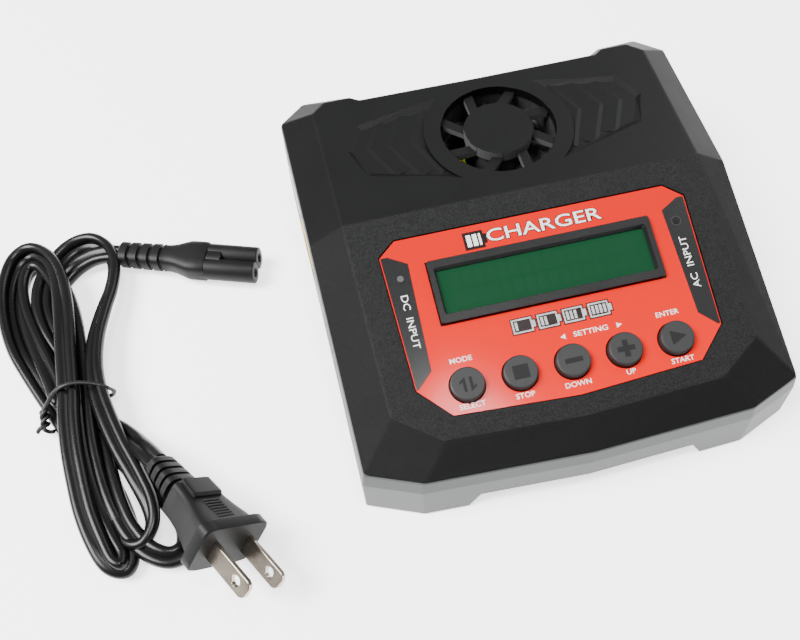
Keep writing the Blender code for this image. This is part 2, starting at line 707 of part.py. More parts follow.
def smooth_points(points, per_span):
    """Points of a smooth curve through a route's own points."""
    path = [Vector(p) for p in points]
    padded = [2 * path[0] - path[1], *path, 2 * path[-1] - path[-2]]
    result = []
    for i in range(1, len(padded) - 2):
        p0, p1, p2, p3 = padded[i - 1:i + 3]
        for k in range(per_span):
            t = k / per_span
            result.append(0.5 * (2 * p1 + (p2 - p0) * t + (2 * p0 - 5 * p1 + 4 * p2 - p3) * t * t
                                 + (3 * p1 - p0 - 3 * p2 + p3) * t ** 3))
    result.append(path[-1])
    return result


CONNECTOR_REAR = Vector((-133.4, 51.6, 4.5))
CONNECTOR_TIP = Vector((-86.8, 34.2, 4.5))
PLUG_FACE = Vector((-109.0, -72.4, 14.2))
PLUG_AXIS = Vector((0.475, -0.88, 0.03)).normalized()
PLUG_ROLL = math.radians(-49.0)
CONNECTOR_TAIL = [(-138.4, 53.2, 4.5), (-136.2, 52.6, 4.5), (-133.8, 51.8, 4.5)]
PLUG_TAIL = [(-134.9, -27.4, 6.6), (-132.3, -31.3, 8.7), (-129.3, -35.8, 11.2),
             (-126.6, -40.0, 12.7)]


def section_frame(origin, axis, roll):
    """A matrix whose X runs along an axis, level first and then rolled about it."""
    side = Vector((0, 0, 1)).cross(axis).normalized()
    up = axis.cross(side)
    base = Matrix((axis, side, up)).transposed().to_4x4()
    return Matrix.Translation(origin) @ base @ Matrix.Rotation(roll, 4, "X")


def lofted_along(name, matrix, stations, mat, smooth=35):
    """A moulded body: rounded sections (distance, width, height, corner radius) on an axis."""
    rings = []
    for distance, width, height, radius in stations:
        outline = rounded_rect(width, height, radius, 4)
        rings.append([matrix @ Vector((distance, u, v)) for u, v in outline])
    return loft(name, rings, mat, smooth)


def build_lead(cord_mat, moulded, brass, tie_mat):
    prism("lead_hank", hank_outline(), HANK_BOTTOM, HANK_TOP, cord_mat)
    tube("lead_tail_connector", smooth_points(CONNECTOR_TAIL, 4), CORD_THICKNESS / 2, cord_mat)
    tube("lead_tail_plug", smooth_points(PLUG_TAIL, 4), CORD_THICKNESS / 2, cord_mat)

    axis = (CONNECTOR_TIP - CONNECTOR_REAR).normalized()
    length = (CONNECTOR_TIP - CONNECTOR_REAR).length
    matrix = section_frame(CONNECTOR_REAR, axis, 0.0)
    lofted_along("connector_plug", matrix,
                 [(0.0, 8.4, 6.4, 2.6), (18.0, 9.4, 7.0, 3.0), (23.0, 9.6, 7.2, 3.2),
                  (28.0, 13.4, 8.0, 3.8), (length, 13.4, 8.0, 3.8)], moulded)

    matrix = section_frame(PLUG_FACE, PLUG_AXIS, PLUG_ROLL)
    lofted_along("plug_body", matrix,
                 [(-36.2, 8.6, 6.6, 2.6), (-23.4, 10.8, 8.4, 3.0), (-22.6, 12.6, 12.0, 2.4),
                  (-14.0, 14.6, 12.6, 2.6), (-4.2, 19.6, 13.4, 2.6), (-4.0, 23.4, 16.4, 3.4),
                  (0.0, 23.4, 16.4, 3.4)], moulded)
    for label, side in (("left", -1), ("right", 1)):
        outline = [(0.3, -3.17), (15.6, -3.17), (17.0, -1.6), (17.0, 1.6), (15.6, 3.17),
                   (0.3, 3.17)]
        bm = bmesh.new()
        add_prism(bm, outline, -0.75, 0.75)
        turn = Matrix.Rotation(math.pi / 2, 4, "X")
        place = matrix @ Matrix.Translation((0, side * 6.35, 0)) @ turn
        bmesh.ops.transform(bm, matrix=place, verts=bm.verts)
        blade = new_object("plug_blade_" + label, bm, brass)
        hole = bmesh.new()
        add_cylinder(hole, 1.6, -2, 2, 12.0, 0.0, segments=16)
        bmesh.ops.transform(hole, matrix=place, verts=hole.verts)
        boolean(blade, new_object("cut_blade_" + label, hole, cutter=True))

    tie = bmesh.new()
    add_box(tie, (24.0, 3.0, HANK_TOP - HANK_BOTTOM + TIE_PROUD), (0, 0, 0))
    middle = (HANK_TOP + HANK_BOTTOM + TIE_PROUD) / 2 - GAP
    turn = Matrix.Translation((*TIE_PLACE, middle)) @ Matrix.Rotation(TIE_TURN, 4, "Z")
    bmesh.ops.transform(tie, matrix=turn, verts=tie.verts)
    band = new_object("lead_tie", tie, tie_mat)
    gap = prism("cut_tie", inset(hank_outline(), -0.35), HANK_BOTTOM - 2.0, HANK_TOP + GAP,
                cutter=True)
    boolean(band, gap)


# ---- build ------------------------------------------------------------------
def main():
    clear_scene()
    shell_black = make_material("shell_black", (0.033, 0.034, 0.035), 0.5)
    base_grey = make_material("base_grey", (0.33, 0.34, 0.335), 0.45)
    label_red = make_material("label_red", (0.82, 0.07, 0.035), 0.2)
    gloss_black = make_material("gloss_black", (0.02, 0.02, 0.022), 0.25)
    button_black = make_material("button_rubber", (0.04, 0.04, 0.042), 0.6)
    display_green = make_material("display_green", (0.02, 0.12, 0.05), 0.15)
    clear = make_material("light_pipe", (0.5, 0.5, 0.5), 0.15)
    board = make_material("circuit_board", (0.02, 0.16, 0.06), 0.4)
    ferrite = make_material("ferrite", (0.05, 0.05, 0.05), 0.7)
    tape = make_material("winding_tape", (0.75, 0.62, 0.05), 0.35)
    alu = make_material("aluminium", (0.8, 0.8, 0.82), 0.3, 1.0)
    steel = make_material("plated_steel", (0.6, 0.6, 0.6), 0.3, 1.0)
    brass = make_material("blade_metal", (0.6, 0.52, 0.4), 0.25, 1.0)
    can = make_material("capacitor_sleeve", (0.02, 0.02, 0.08), 0.35)
    fan_black = make_material("fan_plastic", (0.02, 0.02, 0.02), 0.45)
    socket_yellow = make_material("socket_yellow", (0.85, 0.55, 0.05), 0.4)
    socket_white = make_material("socket_white", (0.8, 0.79, 0.74), 0.45)
    rubber = make_material("foot_rubber", (0.03, 0.03, 0.03), 0.8)
    cord = make_material("cord_pvc", (0.02, 0.02, 0.022), 0.35)
    moulded = make_material("moulded_pvc", (0.03, 0.03, 0.032), 0.5)

    frame = panel_frame()
    build_top_shell(frame, shell_black)
    build_bottom_shell(base_grey)
    build_sockets(gloss_black, socket_yellow, socket_white)
    build_label(frame, label_red)
    build_display(frame, gloss_black, steel, display_green, board)
    build_buttons(frame, button_black, steel)
    build_light_pipes(frame, clear)
    build_fan(fan_black)
    build_electronics(board, ferrite, tape, alu, can)
    build_fasteners(steel, rubber)
    build_lead(cord, moulded, brass, cord)


main()
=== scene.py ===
import math

import bmesh
import bpy
from mathutils import Matrix, Vector


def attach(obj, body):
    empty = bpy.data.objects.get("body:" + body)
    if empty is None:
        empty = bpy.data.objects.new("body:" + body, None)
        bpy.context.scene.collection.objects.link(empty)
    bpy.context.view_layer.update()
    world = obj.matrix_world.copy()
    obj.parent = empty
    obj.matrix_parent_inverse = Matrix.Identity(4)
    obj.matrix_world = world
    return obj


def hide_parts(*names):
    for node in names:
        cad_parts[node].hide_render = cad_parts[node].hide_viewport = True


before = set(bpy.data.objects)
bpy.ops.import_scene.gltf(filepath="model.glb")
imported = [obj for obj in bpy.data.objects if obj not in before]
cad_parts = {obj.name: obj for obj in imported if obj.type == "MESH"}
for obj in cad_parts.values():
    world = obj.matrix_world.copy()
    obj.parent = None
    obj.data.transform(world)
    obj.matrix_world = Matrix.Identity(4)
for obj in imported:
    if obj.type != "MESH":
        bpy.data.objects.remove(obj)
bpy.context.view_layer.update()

# ---- camera -----------------------------------------------------------------
# It stands over the front edge of the charger, a little to the left of its middle, and
# looks steeply down. Its lens is shifted, so the charger and its lead fill the frame.
EYE = Vector((-0.067125, -0.146709, 0.190508))
AZIMUTH = math.radians(-10.176)
ELEVATION = math.radians(69.968)
ROLL = math.radians(-3.724)
forward = Vector((-math.sin(AZIMUTH) * math.cos(ELEVATION),
                  math.cos(AZIMUTH) * math.cos(ELEVATION), -math.sin(ELEVATION)))
level = Vector((math.cos(AZIMUTH), math.sin(AZIMUTH), 0))
upright = level.cross(forward)
right = math.cos(ROLL) * level + math.sin(ROLL) * upright
up = -math.sin(ROLL) * level + math.cos(ROLL) * upright
lens = bpy.data.cameras.new("camera")
lens.lens = 29.81
lens.sensor_width = 36.0
lens.shift_x = -0.0258
lens.shift_y = 0.2734
lens.clip_start = 0.005
camera = bpy.data.objects.new("camera", lens)
camera.matrix_world = Matrix.Translation(EYE) @ Matrix((right, up, -forward)).transposed().to_4x4()
bpy.context.scene.collection.objects.link(camera)
bpy.context.scene.camera = camera

# ---- flat two-core cord -----------------------------------------------------
# Two copper cores side by side in one black PVC jacket, 7 x 3.6 mm, with a groove between
# them. It is folded three times at each end and tied in the middle, and it lies flat apart
# from its end folds, where it turns on its side.
MM = 0.001
CORE_RADIUS = 1.8
CORE_OFFSET = 1.72
GROOVE_LEVEL = 0.52
# x, y, z in mm and the cord's tilt in degrees; the last point of each row lies in the tie
CORD_RUNS = [
    # from the connector, along the table to the tie
    (-133.9, 51.8, 4.5, 0), (-138.6, 53.2, 4.4, 0), (-144.4, 53.8, 3.6, 0),
    (-150.6, 52.0, 2.6, 0), (-155.8, 47.6, 2.2, 0), (-160.4, 41.4, 2.2, 0),
    (-163.4, 33.6, 2.2, 0), (-164.4, 25, 2.2, 0), (-162.8, 15.5, 2.2, 0), (-159.2, 5, 2.2, 0),
    (-154.6, -5, 2.2, 0),
    # the wide front fold, which passes under the plug
    (-150.6, -14.5, 2.6, 0), (-147.2, -25, 3.6, 0), (-145.2, -36, 4.6, 0),
    (-143.2, -46, 5.0, 5), (-140.2, -55.6, 5.0, 10), (-135.4, -63.4, 4.6, 15),
    (-129.4, -67.2, 3.8, 15), (-124.4, -65.0, 3.0, 10), (-123.6, -58.2, 2.5, 5),
    (-126.6, -50.6, 2.2, 0), (-131.8, -43, 2.2, 0), (-137.4, -35, 2.2, 0),
    (-142.0, -27, 2.2, 0), (-144.8, -19.5, 2.2, 0), (-146.4, -12.5, 2.2, 0),
    (-147.6, -5, 2.3, 0),
    # the right-hand rear fold
    (-151.4, 5, 2.6, 0), (-156.4, 15, 3.6, 10), (-160.4, 25.5, 4.6, 25), (-162.2, 36, 5.0, 30),
    (-161.0, 46, 4.2, 25), (-156.6, 54, 3.8, 35), (-150.2, 59.4, 4.0, 50),
    (-143.4, 59.8, 4.4, 60), (-138.4, 55, 4.5, 60), (-136.6, 47.0, 4.6, 55),
    (-138.0, 37, 5.2, 45), (-141.2, 27, 6.0, 35), (-144.0, 16, 7.0, 30), (-145.2, 5, 7.7, 28),
    (-144.8, -5, 7.9, 25),
    # the short front fold
    (-142.9, -15.5, 7.7, 20), (-139.8, -27.2, 7.3, 20), (-136.0, -38.4, 6.8, 25),
    (-133.0, -48.4, 6.0, 40), (-132.9, -55.8, 5.2, 55), (-136.4, -60.6, 4.4, 60),
    (-140.6, -58.4, 3.4, 40), (-142.2, -50.6, 2.2, 10), (-144.6, -41.5, 2.0, 0),
    (-148.4, -32, 2.0, 0), (-153.0, -23, 2.0, 0), (-157.6, -14, 2.0, 0),
    (-161.6, -5, 2.4, 0),
    # the left-hand rear fold, on the outside
    (-167.2, 8, 3.2, 20), (-171.6, 19.5, 4.0, 40), (-173.9, 32, 4.6, 55),
    (-173.8, 45, 5.0, 60), (-170.6, 55.2, 5.4, 60), (-165.0, 59.0, 6.0, 55),
    (-159.6, 55.2, 6.8, 45), (-155.8, 47.6, 7.8, 30), (-153.8, 37, 8.8, 12),
    (-153.1, 24, 9.4, 0), (-153.2, 9, 9.6, 0),
    (-153.2, -5, 9.6, 0),
    # the narrow front fold
    (-153.7, -15, 9.4, 0), (-153.6, -26, 9.0, 0), (-152.8, -37, 8.4, 0), (-151.5, -48, 7.8, 0),
    (-149.2, -58, 7.0, 5), (-146.6, -65.4, 5.8, 30), (-143.0, -67.6, 4.6, 60),
    (-141.4, -63.4, 4.2, 50), (-143.6, -56, 4.8, 20), (-146.4, -47, 5.4, 0),
    (-148.6, -36, 5.7, 0), (-149.9, -25, 6.0, 0), (-150.4, -14.5, 6.1, 0),
    (-150.4, -5, 6.2, 0),
    # the left-hand rear fold, on the inside
    (-150.9, 6, 6.1, 0), (-151.4, 17, 6.0, 0), (-152.4, 28, 5.8, 0), (-154.6, 38.5, 5.4, 10),
    (-158.0, 47.6, 5.2, 30), (-162.0, 53.0, 5.0, 50), (-166.4, 52.0, 4.8, 60),
    (-168.8, 44.5, 4.8, 55), (-168.4, 34, 5.0, 40), (-165.6, 22, 5.4, 25),
    (-162.0, 10.5, 5.8, 10), (-159.4, 2, 5.9, 0),
    (-157.4, -5, 5.8, 0),
    # on to the plug
    (-151.5, -11, 4.4, 0), (-145.6, -15.8, 3.9, 0), (-140.0, -21.0, 4.9, 0),
    (-134.9, -27.4, 6.8, 0), (-131.0, -33.2, 9.8, 10), (-126.6, -40.2, 12.7, 20)]


def finish(name, colour, other=None, rough=(0.4, 0.5), grain=1800.0, bump=0.1, mottle=70.0,
           metal=0.0, coat=0.0, specular=0.5):
    """A surface with two mixed tones, a fine grain in its relief and an uneven polish."""
    mat = bpy.data.materials.new(name)
    mat.use_nodes = True
    nodes = mat.node_tree.nodes
    links = mat.node_tree.links
    shader = nodes["Principled BSDF"]
    shader.inputs["Metallic"].default_value = metal
    shader.inputs["Coat Weight"].default_value = coat
    shader.inputs["Coat Roughness"].default_value = 0.12
    shader.inputs["Specular IOR Level"].default_value = specular
    place = nodes.new("ShaderNodeTexCoord")
    broad = nodes.new("ShaderNodeTexNoise")
    broad.inputs["Scale"].default_value = mottle
    broad.inputs["Detail"].default_value = 4.0
    fine = nodes.new("ShaderNodeTexNoise")
    fine.inputs["Scale"].default_value = grain
    fine.inputs["Detail"].default_value = 2.0
    links.new(place.outputs["Object"], broad.inputs["Vector"])
    links.new(place.outputs["Object"], fine.inputs["Vector"])
    tones = nodes.new("ShaderNodeMix")
    tones.data_type = "RGBA"
    tones.inputs["A"].default_value = (*colour, 1.0)
    tones.inputs["B"].default_value = (*(other or [c * 1.25 for c in colour]), 1.0)
    links.new(broad.outputs["Fac"], tones.inputs["Factor"])
    links.new(tones.outputs["Result"], shader.inputs["Base Color"])
    polish = nodes.new("ShaderNodeMapRange")
    polish.inputs["To Min"].default_value = rough[0]
    polish.inputs["To Max"].default_value = rough[1]
    links.new(broad.outputs["Fac"], polish.inputs["Value"])
    links.new(polish.outputs["Result"], shader.inputs["Roughness"])
    relief = nodes.new("ShaderNodeBump")
    relief.inputs["Strength"].default_value = bump
    relief.inputs["Distance"].default_value = 0.0002
    links.new(fine.outputs["Fac"], relief.inputs["Height"])
    links.new(relief.outputs["Normal"], shader.inputs["Normal"])
    return mat


def piece(name, bm, mat, body, smooth=None, stands_for=()):
    """A finished piece from a bmesh in millimetres, faced outwards and riding on a body."""
    bmesh.ops.scale(bm, vec=(MM, MM, MM), verts=bm.verts)
    bmesh.ops.recalc_face_normals(bm, faces=bm.faces)
    mesh = bpy.data.meshes.new(name)
    bm.to_mesh(mesh)
    bm.free()
    return settle(name, mesh, mat, body, smooth, stands_for)


def settle(name, mesh, mat, body, smooth=None, stands_for=()):
    """A finished piece from a mesh in metres, riding on a body."""
    if smooth is not None:
        mesh.shade_smooth()
        mesh.set_sharp_from_angle(angle=math.radians(smooth))
    mesh.materials.clear()
    mesh.materials.append(mat)
    obj = bpy.data.objects.new(name, mesh)
    bpy.context.scene.collection.objects.link(obj)
    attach(obj, body)
    if stands_for:
        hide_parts(*stands_for)
    return obj


def smooth_run(points, per_span):
    """Points of a smooth curve through a cord's own points, tilt included."""
    path = [Vector(p) for p in points]
    padded = [2 * path[0] - path[1], *path, 2 * path[-1] - path[-2]]
    result = []
    for i in range(1, len(padded) - 2):
        p0, p1, p2, p3 = padded[i - 1:i + 3]
        for k in range(per_span):
            t = k / per_span
            result.append(0.5 * (2 * p1 + (p2 - p0) * t + (2 * p0 - 5 * p1 + 4 * p2 - p3) * t * t
                                 + (3 * p1 - p0 - 3 * p2 + p3) * t ** 3))
    result.append(path[-1])
    return result


def twin_section(radius, offset, steps):
    """Two round lobes side by side with a shallow groove between, as (across, up)."""
    meet = math.acos(min(1.0, offset / radius))
    section = []
    for side in (0.0, math.pi):
        for k in range(steps):
            angle = side - math.pi + meet + (math.tau - 2 * meet) * k / steps
            rise = radius * math.sin(angle)
            if k == 0:
                rise = math.copysign(GROOVE_LEVEL * radius, rise)
            section.append((offset * math.cos(side) + radius * math.cos(angle), rise))
    return section


def skin(bm, rings):
    """Faces between neighbouring rings of vertices; a ring of one vertex is a tip."""
    for low, high in zip(rings, rings[1:]):
        count = max(len(low), len(high))
        for i in range(count):
            j = (i + 1) % count
            if len(low) == 1:
                bm.faces.new((low[0], high[j], high[i]))
            elif len(high) == 1:
                bm.faces.new((low[i], low[j], high[0]))
            else:
                bm.faces.new((low[i], low[j], high[j], high[i]))


def closed(bm, rings):
    """A solid through a run of rings, with a flat face at both ends."""
    skin(bm, rings)
    bm.faces.new(rings[0][::-1])
    bm.faces.new(rings[-1])


def around(radius, count):
    """Points evenly round a circle."""
    return [(radius * math.cos(math.tau * k / count), radius * math.sin(math.tau * k / count))
            for k in range(count)]


def swept(bm, line, section):
    """Sweep a section along a line of (x, y, z, tilt); across stays level before the tilt."""
    rings = []
    spots = [Vector(p[:3]) for p in line]
    across = None
    for i, spot in enumerate(spots):
        along = (spots[min(i + 1, len(spots) - 1)] - spots[max(i - 1, 0)]).normalized()
        flat = Vector((0, 0, 1)).cross(along)
        if flat.length < 0.2 and across is not None:
            flat = across - across.dot(along) * along
        flat.normalize()
        if across is not None and flat.dot(across) < 0:
            flat = -flat
        across = flat
        turn = Matrix.Rotation(math.radians(line[i][3]), 3, along)
        side = turn @ flat
        above = along.cross(side)
        rings.append([bm.verts.new(spot + side * u + above * v) for u, v in section])
    closed(bm, rings)


cord_black = finish("cord_pvc", (0.0026, 0.0026, 0.0027), (0.0040, 0.0040, 0.0042),
                    rough=(0.24, 0.32), grain=900.0, bump=0.05, mottle=120.0, specular=0.25)
cord_line = smooth_run(CORD_RUNS, 7)
bm = bmesh.new()
swept(bm, cord_line, twin_section(CORE_RADIUS, CORE_OFFSET, 9))
cord = piece("power_cord", bm, cord_black, "case", smooth=70,
             stands_for=["lead_hank", "lead_tail_connector", "lead_tail_plug"])

# ---- wire tie ---------------------------------------------------------------
# A black plastic-covered wire goes once round the folded cord and its two ends are twisted
# together at the left, then spread. It holds by the twist alone.
tie_black = finish("tie_pvc", (0.005, 0.005, 0.005), rough=(0.35, 0.5), grain=1500.0, bump=0.1,
                   specular=0.3)
TIE_LOOP = [(-163.4, -8.2, 6.4, 0), (-165.3, -6.6, 3.4, 0), (-164.2, -5.8, 1.1, 0),
            (-157.0, -4.6, 0.9, 0), (-148.0, -4.0, 0.9, 0), (-142.8, -4.2, 1.6, 0),
            (-140.6, -5.4, 5.0, 0), (-141.4, -6.2, 8.8, 0), (-144.6, -5.2, 10.6, 0),
            (-149.4, -4.6, 12.0, 0), (-153.6, -5.0, 12.3, 0), (-157.4, -5.8, 10.8, 0),
            (-160.6, -7.2, 8.4, 0), (-163.0, -8.8, 6.9, 0)]
wire = [(0.75 * u, 0.55 * v) for u, v in around(1.0, 10)]
TWIST_RADIUS = 0.85
TWIST_STEPS = 25
bm = bmesh.new()
swept(bm, smooth_run(TIE_LOOP, 8), wire)
for phase in (0.0, math.pi):
    twist = []
    for k in range(TWIST_STEPS + 1):
        share = k / TWIST_STEPS
        swing = TWIST_RADIUS + 6.0 * max(share - 0.75, 0.0)
        middle = Vector((-162.6 - 1.6 * share, -8.4 - 5.6 * share, 6.6 - 3.4 * share))
        angle = phase + share * 9.0
        twist.append((middle.x + swing * math.cos(angle), middle.y + 0.3 * math.cos(angle),
                      middle.z + swing * math.sin(angle), 0))
    swept(bm, twist, wire)
tie = piece("cord_tie", bm, tie_black, "case", smooth=60, stands_for=["lead_tie"])

# ---- two-pole connector -----------------------------------------------------
# The figure-of-eight connector on the lead's end, moulded in soft black PVC over two spring
# contacts. The boot has four ribs, and the nose is two barrels with a groove between them.
moulded_black = finish("moulded_pvc", (0.0034, 0.0034, 0.0035), (0.0052, 0.0052, 0.0054),
                       rough=(0.42, 0.55), grain=1400.0, bump=0.12, mottle=160.0, specular=0.2)
REAR = Vector((-133.4, 51.6, 4.5))
TIP = Vector((-86.8, 34.2, 4.5))


def axis_frame(origin, axis, roll):
    """X runs along the axis, Y level across it, both then rolled about it."""
    side = Vector((0, 0, 1)).cross(axis).normalized()
    base = Matrix((axis, side, axis.cross(side))).transposed().to_4x4()
    return Matrix.Translation(origin) @ base @ Matrix.Rotation(roll, 4, "X")


def squircle(width, height, power, count):
    """A rounded section between an ellipse (power 2) and a rectangle."""
    return [(width / 2 * math.copysign(abs(c) ** (2 / power), c),
             height / 2 * math.copysign(abs(s) ** (2 / power), s)) for c, s in around(1.0, count)]


def lofted(bm, matrix, stations, count=36):
    """Skin a run of sections (distance, width, height, power, rise) along a frame's X."""
    rings = []
    for distance, width, height, power, rise in stations:
        rings.append([bm.verts.new(matrix @ Vector((distance, u, v + rise)))
                      for u, v in squircle(width, height, power, count)])
    closed(bm, rings)


def ribbed(start, end, ribs, size, end_size, groove, power):
    """Stations of a flexible boot: full-size ribs with deep grooves between them."""
    stations = []
    pitch = (end - start) / ribs
    for k in range(ribs):
        for share, depth in ((0.0, 0.0), (0.04, 0.0), (0.56, 0.0), (0.62, 0.0),
                             (0.64, groove), (0.94, groove), (0.97, 0.0)):
            x = start + pitch * (k + share)
            t = (x - start) / (end - start)
            width = size[0] + (end_size[0] - size[0]) * t - 2 * depth
            height = size[1] + (end_size[1] - size[1]) * t - 1.6 * depth
            stations.append((x, width, height, power, 0.0))
    return stations


nose = (TIP - REAR).length
lay = axis_frame(REAR, (TIP - REAR).normalized(), 0.0)
bm = bmesh.new()
lofted(bm, lay, [(-0.2, 6.6, 4.6, 2.4, 0), (0.0, 7.8, 5.8, 2.6, 0)]
       + ribbed(0.6, 16.4, 4, (8.6, 6.6), (9.2, 7.0), 1.0, 3.0)
       + [(17.0, 8.6, 6.8, 3.0, 0), (19.0, 9.0, 7.0, 3.0, 0), (21.0, 10.0, 7.3, 3.0, 0),
          (24.6, 12.8, 7.8, 3.4, 0), (26.0, 13.4, 8.0, 3.6, 0), (28.0, 13.5, 8.0, 3.6, 0),
          (31.6, 13.5, 8.0, 3.6, 0), (32.0, 13.1, 7.6, 3.4, 0)])


def add_barrel(bm, matrix, side, start, end, radius, bore, depth):
    """A round barrel with a rounded rim and a blind bore for the inlet's pin."""
    profile = [(start, 0.0), (start, radius), (end - 0.5, radius), (end - 0.15, radius - 0.15),
               (end, radius - 0.5), (end, bore + 0.2), (end - 0.3, bore), (end - depth, bore),
               (end - depth, 0.0)]
    skin(bm, [[bm.verts.new(matrix @ Vector((x, side + u, v)))
               for u, v in (around(r, 28) if r else [(0, 0)])] for x, r in profile])


def eased(obj, width):
    """Small round edges on a moulded or stamped piece."""
    soften = obj.modifiers.new("soft_edges", "BEVEL")
    soften.width = width
    soften.segments = 2
    soften.limit_method = "ANGLE"
    soften.angle_limit = math.radians(40)


for side in (-3.25, 3.25):
    add_barrel(bm, lay, side, 30.0, nose, 3.6, 1.35, 9.0)
lofted(bm, lay, [(30.0, 4.4, 6.2, 6.0, 0.4), (nose - 12.6, 4.4, 6.2, 6.0, 0.4),
                 (nose - 12.4, 4.0, 5.8, 6.0, 0.4)], 16)
lofted(bm, lay, [(30.0, 3.4, 2.4, 5.0, 0.0), (nose - 0.6, 3.4, 2.4, 5.0, 0.0),
                 (nose - 0.4, 3.0, 2.0, 5.0, 0.0)], 16)
connector = piece("lead_connector", bm, moulded_black, "case", smooth=38,
                  stands_for=["connector_plug"])
eased(connector, 0.00018)


def repeated(name, item, places, mat, body, smooth=None):
    """Copies of one small item at given places, each a (place, turn), in one plain mesh."""
    bmesh.ops.recalc_face_normals(item, faces=item.faces)
    pattern = bpy.data.meshes.new(name + "_item")
    item.to_mesh(pattern)
    item.free()
    pattern_obj = bpy.data.objects.new(name + "_item", pattern)
    points = bpy.data.meshes.new(name + "_points")
    points.from_pydata([tuple(place) for place, turn in places], [], [])
    turns = points.attributes.new("turn", "FLOAT_VECTOR", "POINT")
    for i, (place, turn) in enumerate(places):
        turns.data[i].vector = turn
    holder = bpy.data.objects.new(name + "_points", points)
    for obj in (pattern_obj, holder):
        bpy.context.scene.collection.objects.link(obj)
    tree = bpy.data.node_groups.new(name + "_repeat", "GeometryNodeTree")
    tree.interface.new_socket("Geometry", in_out="INPUT", socket_type="NodeSocketGeometry")
    item_in = tree.interface.new_socket("Item", in_out="INPUT", socket_type="NodeSocketObject")
    mat_in = tree.interface.new_socket("Finish", in_out="INPUT", socket_type="NodeSocketMaterial")
    tree.interface.new_socket("Geometry", in_out="OUTPUT", socket_type="NodeSocketGeometry")
    nodes = tree.nodes
    links = tree.links
    source = nodes.new("NodeGroupInput")
    info = nodes.new("GeometryNodeObjectInfo")
    turn = nodes.new("GeometryNodeInputNamedAttribute")
    turn.data_type = "FLOAT_VECTOR"
    turn.inputs["Name"].default_value = "turn"
    stamp = nodes.new("GeometryNodeInstanceOnPoints")
    real = nodes.new("GeometryNodeRealizeInstances")
    paint = nodes.new("GeometryNodeSetMaterial")
    out = nodes.new("NodeGroupOutput")
    links.new(source.outputs["Item"], info.inputs["Object"])
    links.new(source.outputs["Geometry"], stamp.inputs["Points"])
    links.new(info.outputs["Geometry"], stamp.inputs["Instance"])
    links.new(turn.outputs["Attribute"], stamp.inputs["Rotation"])
    links.new(stamp.outputs["Instances"], real.inputs["Geometry"])
    links.new(real.outputs["Geometry"], paint.inputs["Geometry"])
    links.new(source.outputs["Finish"], paint.inputs["Material"])
    links.new(paint.outputs["Geometry"], out.inputs["Geometry"])
    grown = holder.modifiers.new("repeat", "NODES")
    grown.node_group = tree
    grown[item_in.identifier] = pattern_obj
    grown[mat_in.identifier] = mat
    depsgraph = bpy.context.evaluated_depsgraph_get()
    mesh = bpy.data.meshes.new_from_object(holder.evaluated_get(depsgraph), depsgraph=depsgraph)
    mesh.transform(Matrix.Scale(MM, 4))
    if "turn" in mesh.attributes:
        mesh.attributes.remove(mesh.attributes["turn"])
    bpy.data.objects.remove(holder)
    bpy.data.objects.remove(pattern_obj)
    return settle(name, mesh, mat, body, smooth)


# ---- plug -------------------------------------------------------------------
# The two-blade mains plug, moulded in the same PVC over riveted blades. It rests on one
# corner of its flange and on its blades, and its grip has a raised pad and seven slots.
PLUG_FACE = Vector((-109.0, -72.4, 14.2))
PLUG_AXIS = Vector((0.475, -0.88, 0.03)).normalized()
PLUG_ROLL = math.radians(-49.0)
plug = axis_frame(PLUG_FACE, PLUG_AXIS, PLUG_ROLL)
bm = bmesh.new()
lofted(bm, plug, [(-36.4, 6.8, 5.2, 2.6, 0), (-36.0, 8.6, 6.4, 2.8, 0)]
       + ribbed(-35.6, -23.6, 4, (8.8, 6.8), (11.0, 8.8), 1.1, 3.2)
       + [(-23.4, 9.6, 8.2, 3.4, 0), (-22.6, 9.8, 8.4, 3.4, 0), (-22.2, 12.8, 11.6, 5.0, 0),
          (-21.8, 13.4, 12.0, 6.0, 0), (-18.0, 13.6, 12.0, 6.0, 0), (-14.0, 14.8, 12.2, 6.0, 0),
          (-10.0, 17.0, 12.6, 6.0, 0), (-6.6, 19.2, 13.2, 6.0, 0), (-4.2, 19.9, 13.6, 6.0, 0),
          (-3.9, 22.6, 15.8, 7.0, 0), (-3.6, 23.4, 16.4, 7.5, 0), (-0.4, 23.4, 16.4, 7.5, 0),
          (0.0, 22.8, 15.8, 7.0, 0)], 64)
lofted(bm, plug, [(-22.0, 8.8, 1.2, 6.0, 6.2), (-21.4, 9.6, 2.0, 6.0, 6.4),
                  (-15.4, 10.4, 2.0, 6.0, 6.4), (-14.6, 9.8, 1.0, 6.0, 6.2)], 24)
plug_body = piece("plug_moulding", bm, moulded_black, "case", smooth=38,
                  stands_for=["plug_body"])
slot_dark_and_recess_shade = finish("plug_slots", (0.004, 0.004, 0.004), rough=(0.7, 0.8), grain=1500.0)
rib = bmesh.new()
bmesh.ops.create_cube(rib, size=1.0, matrix=Matrix.Diagonal((0.62, 5.6, 0.5, 1)))
bmesh.ops.bevel(rib, geom=rib.edges[:], offset=0.12, segments=1, affect="EDGES")
places = [(plug @ Vector((-13.0 + 1.15 * k, 0.0, 6.26 + 0.055 * k)), plug.to_euler())
          for k in range(7)]
grille = repeated("plug_grille", rib, places, slot_dark_and_recess_shade, "case")

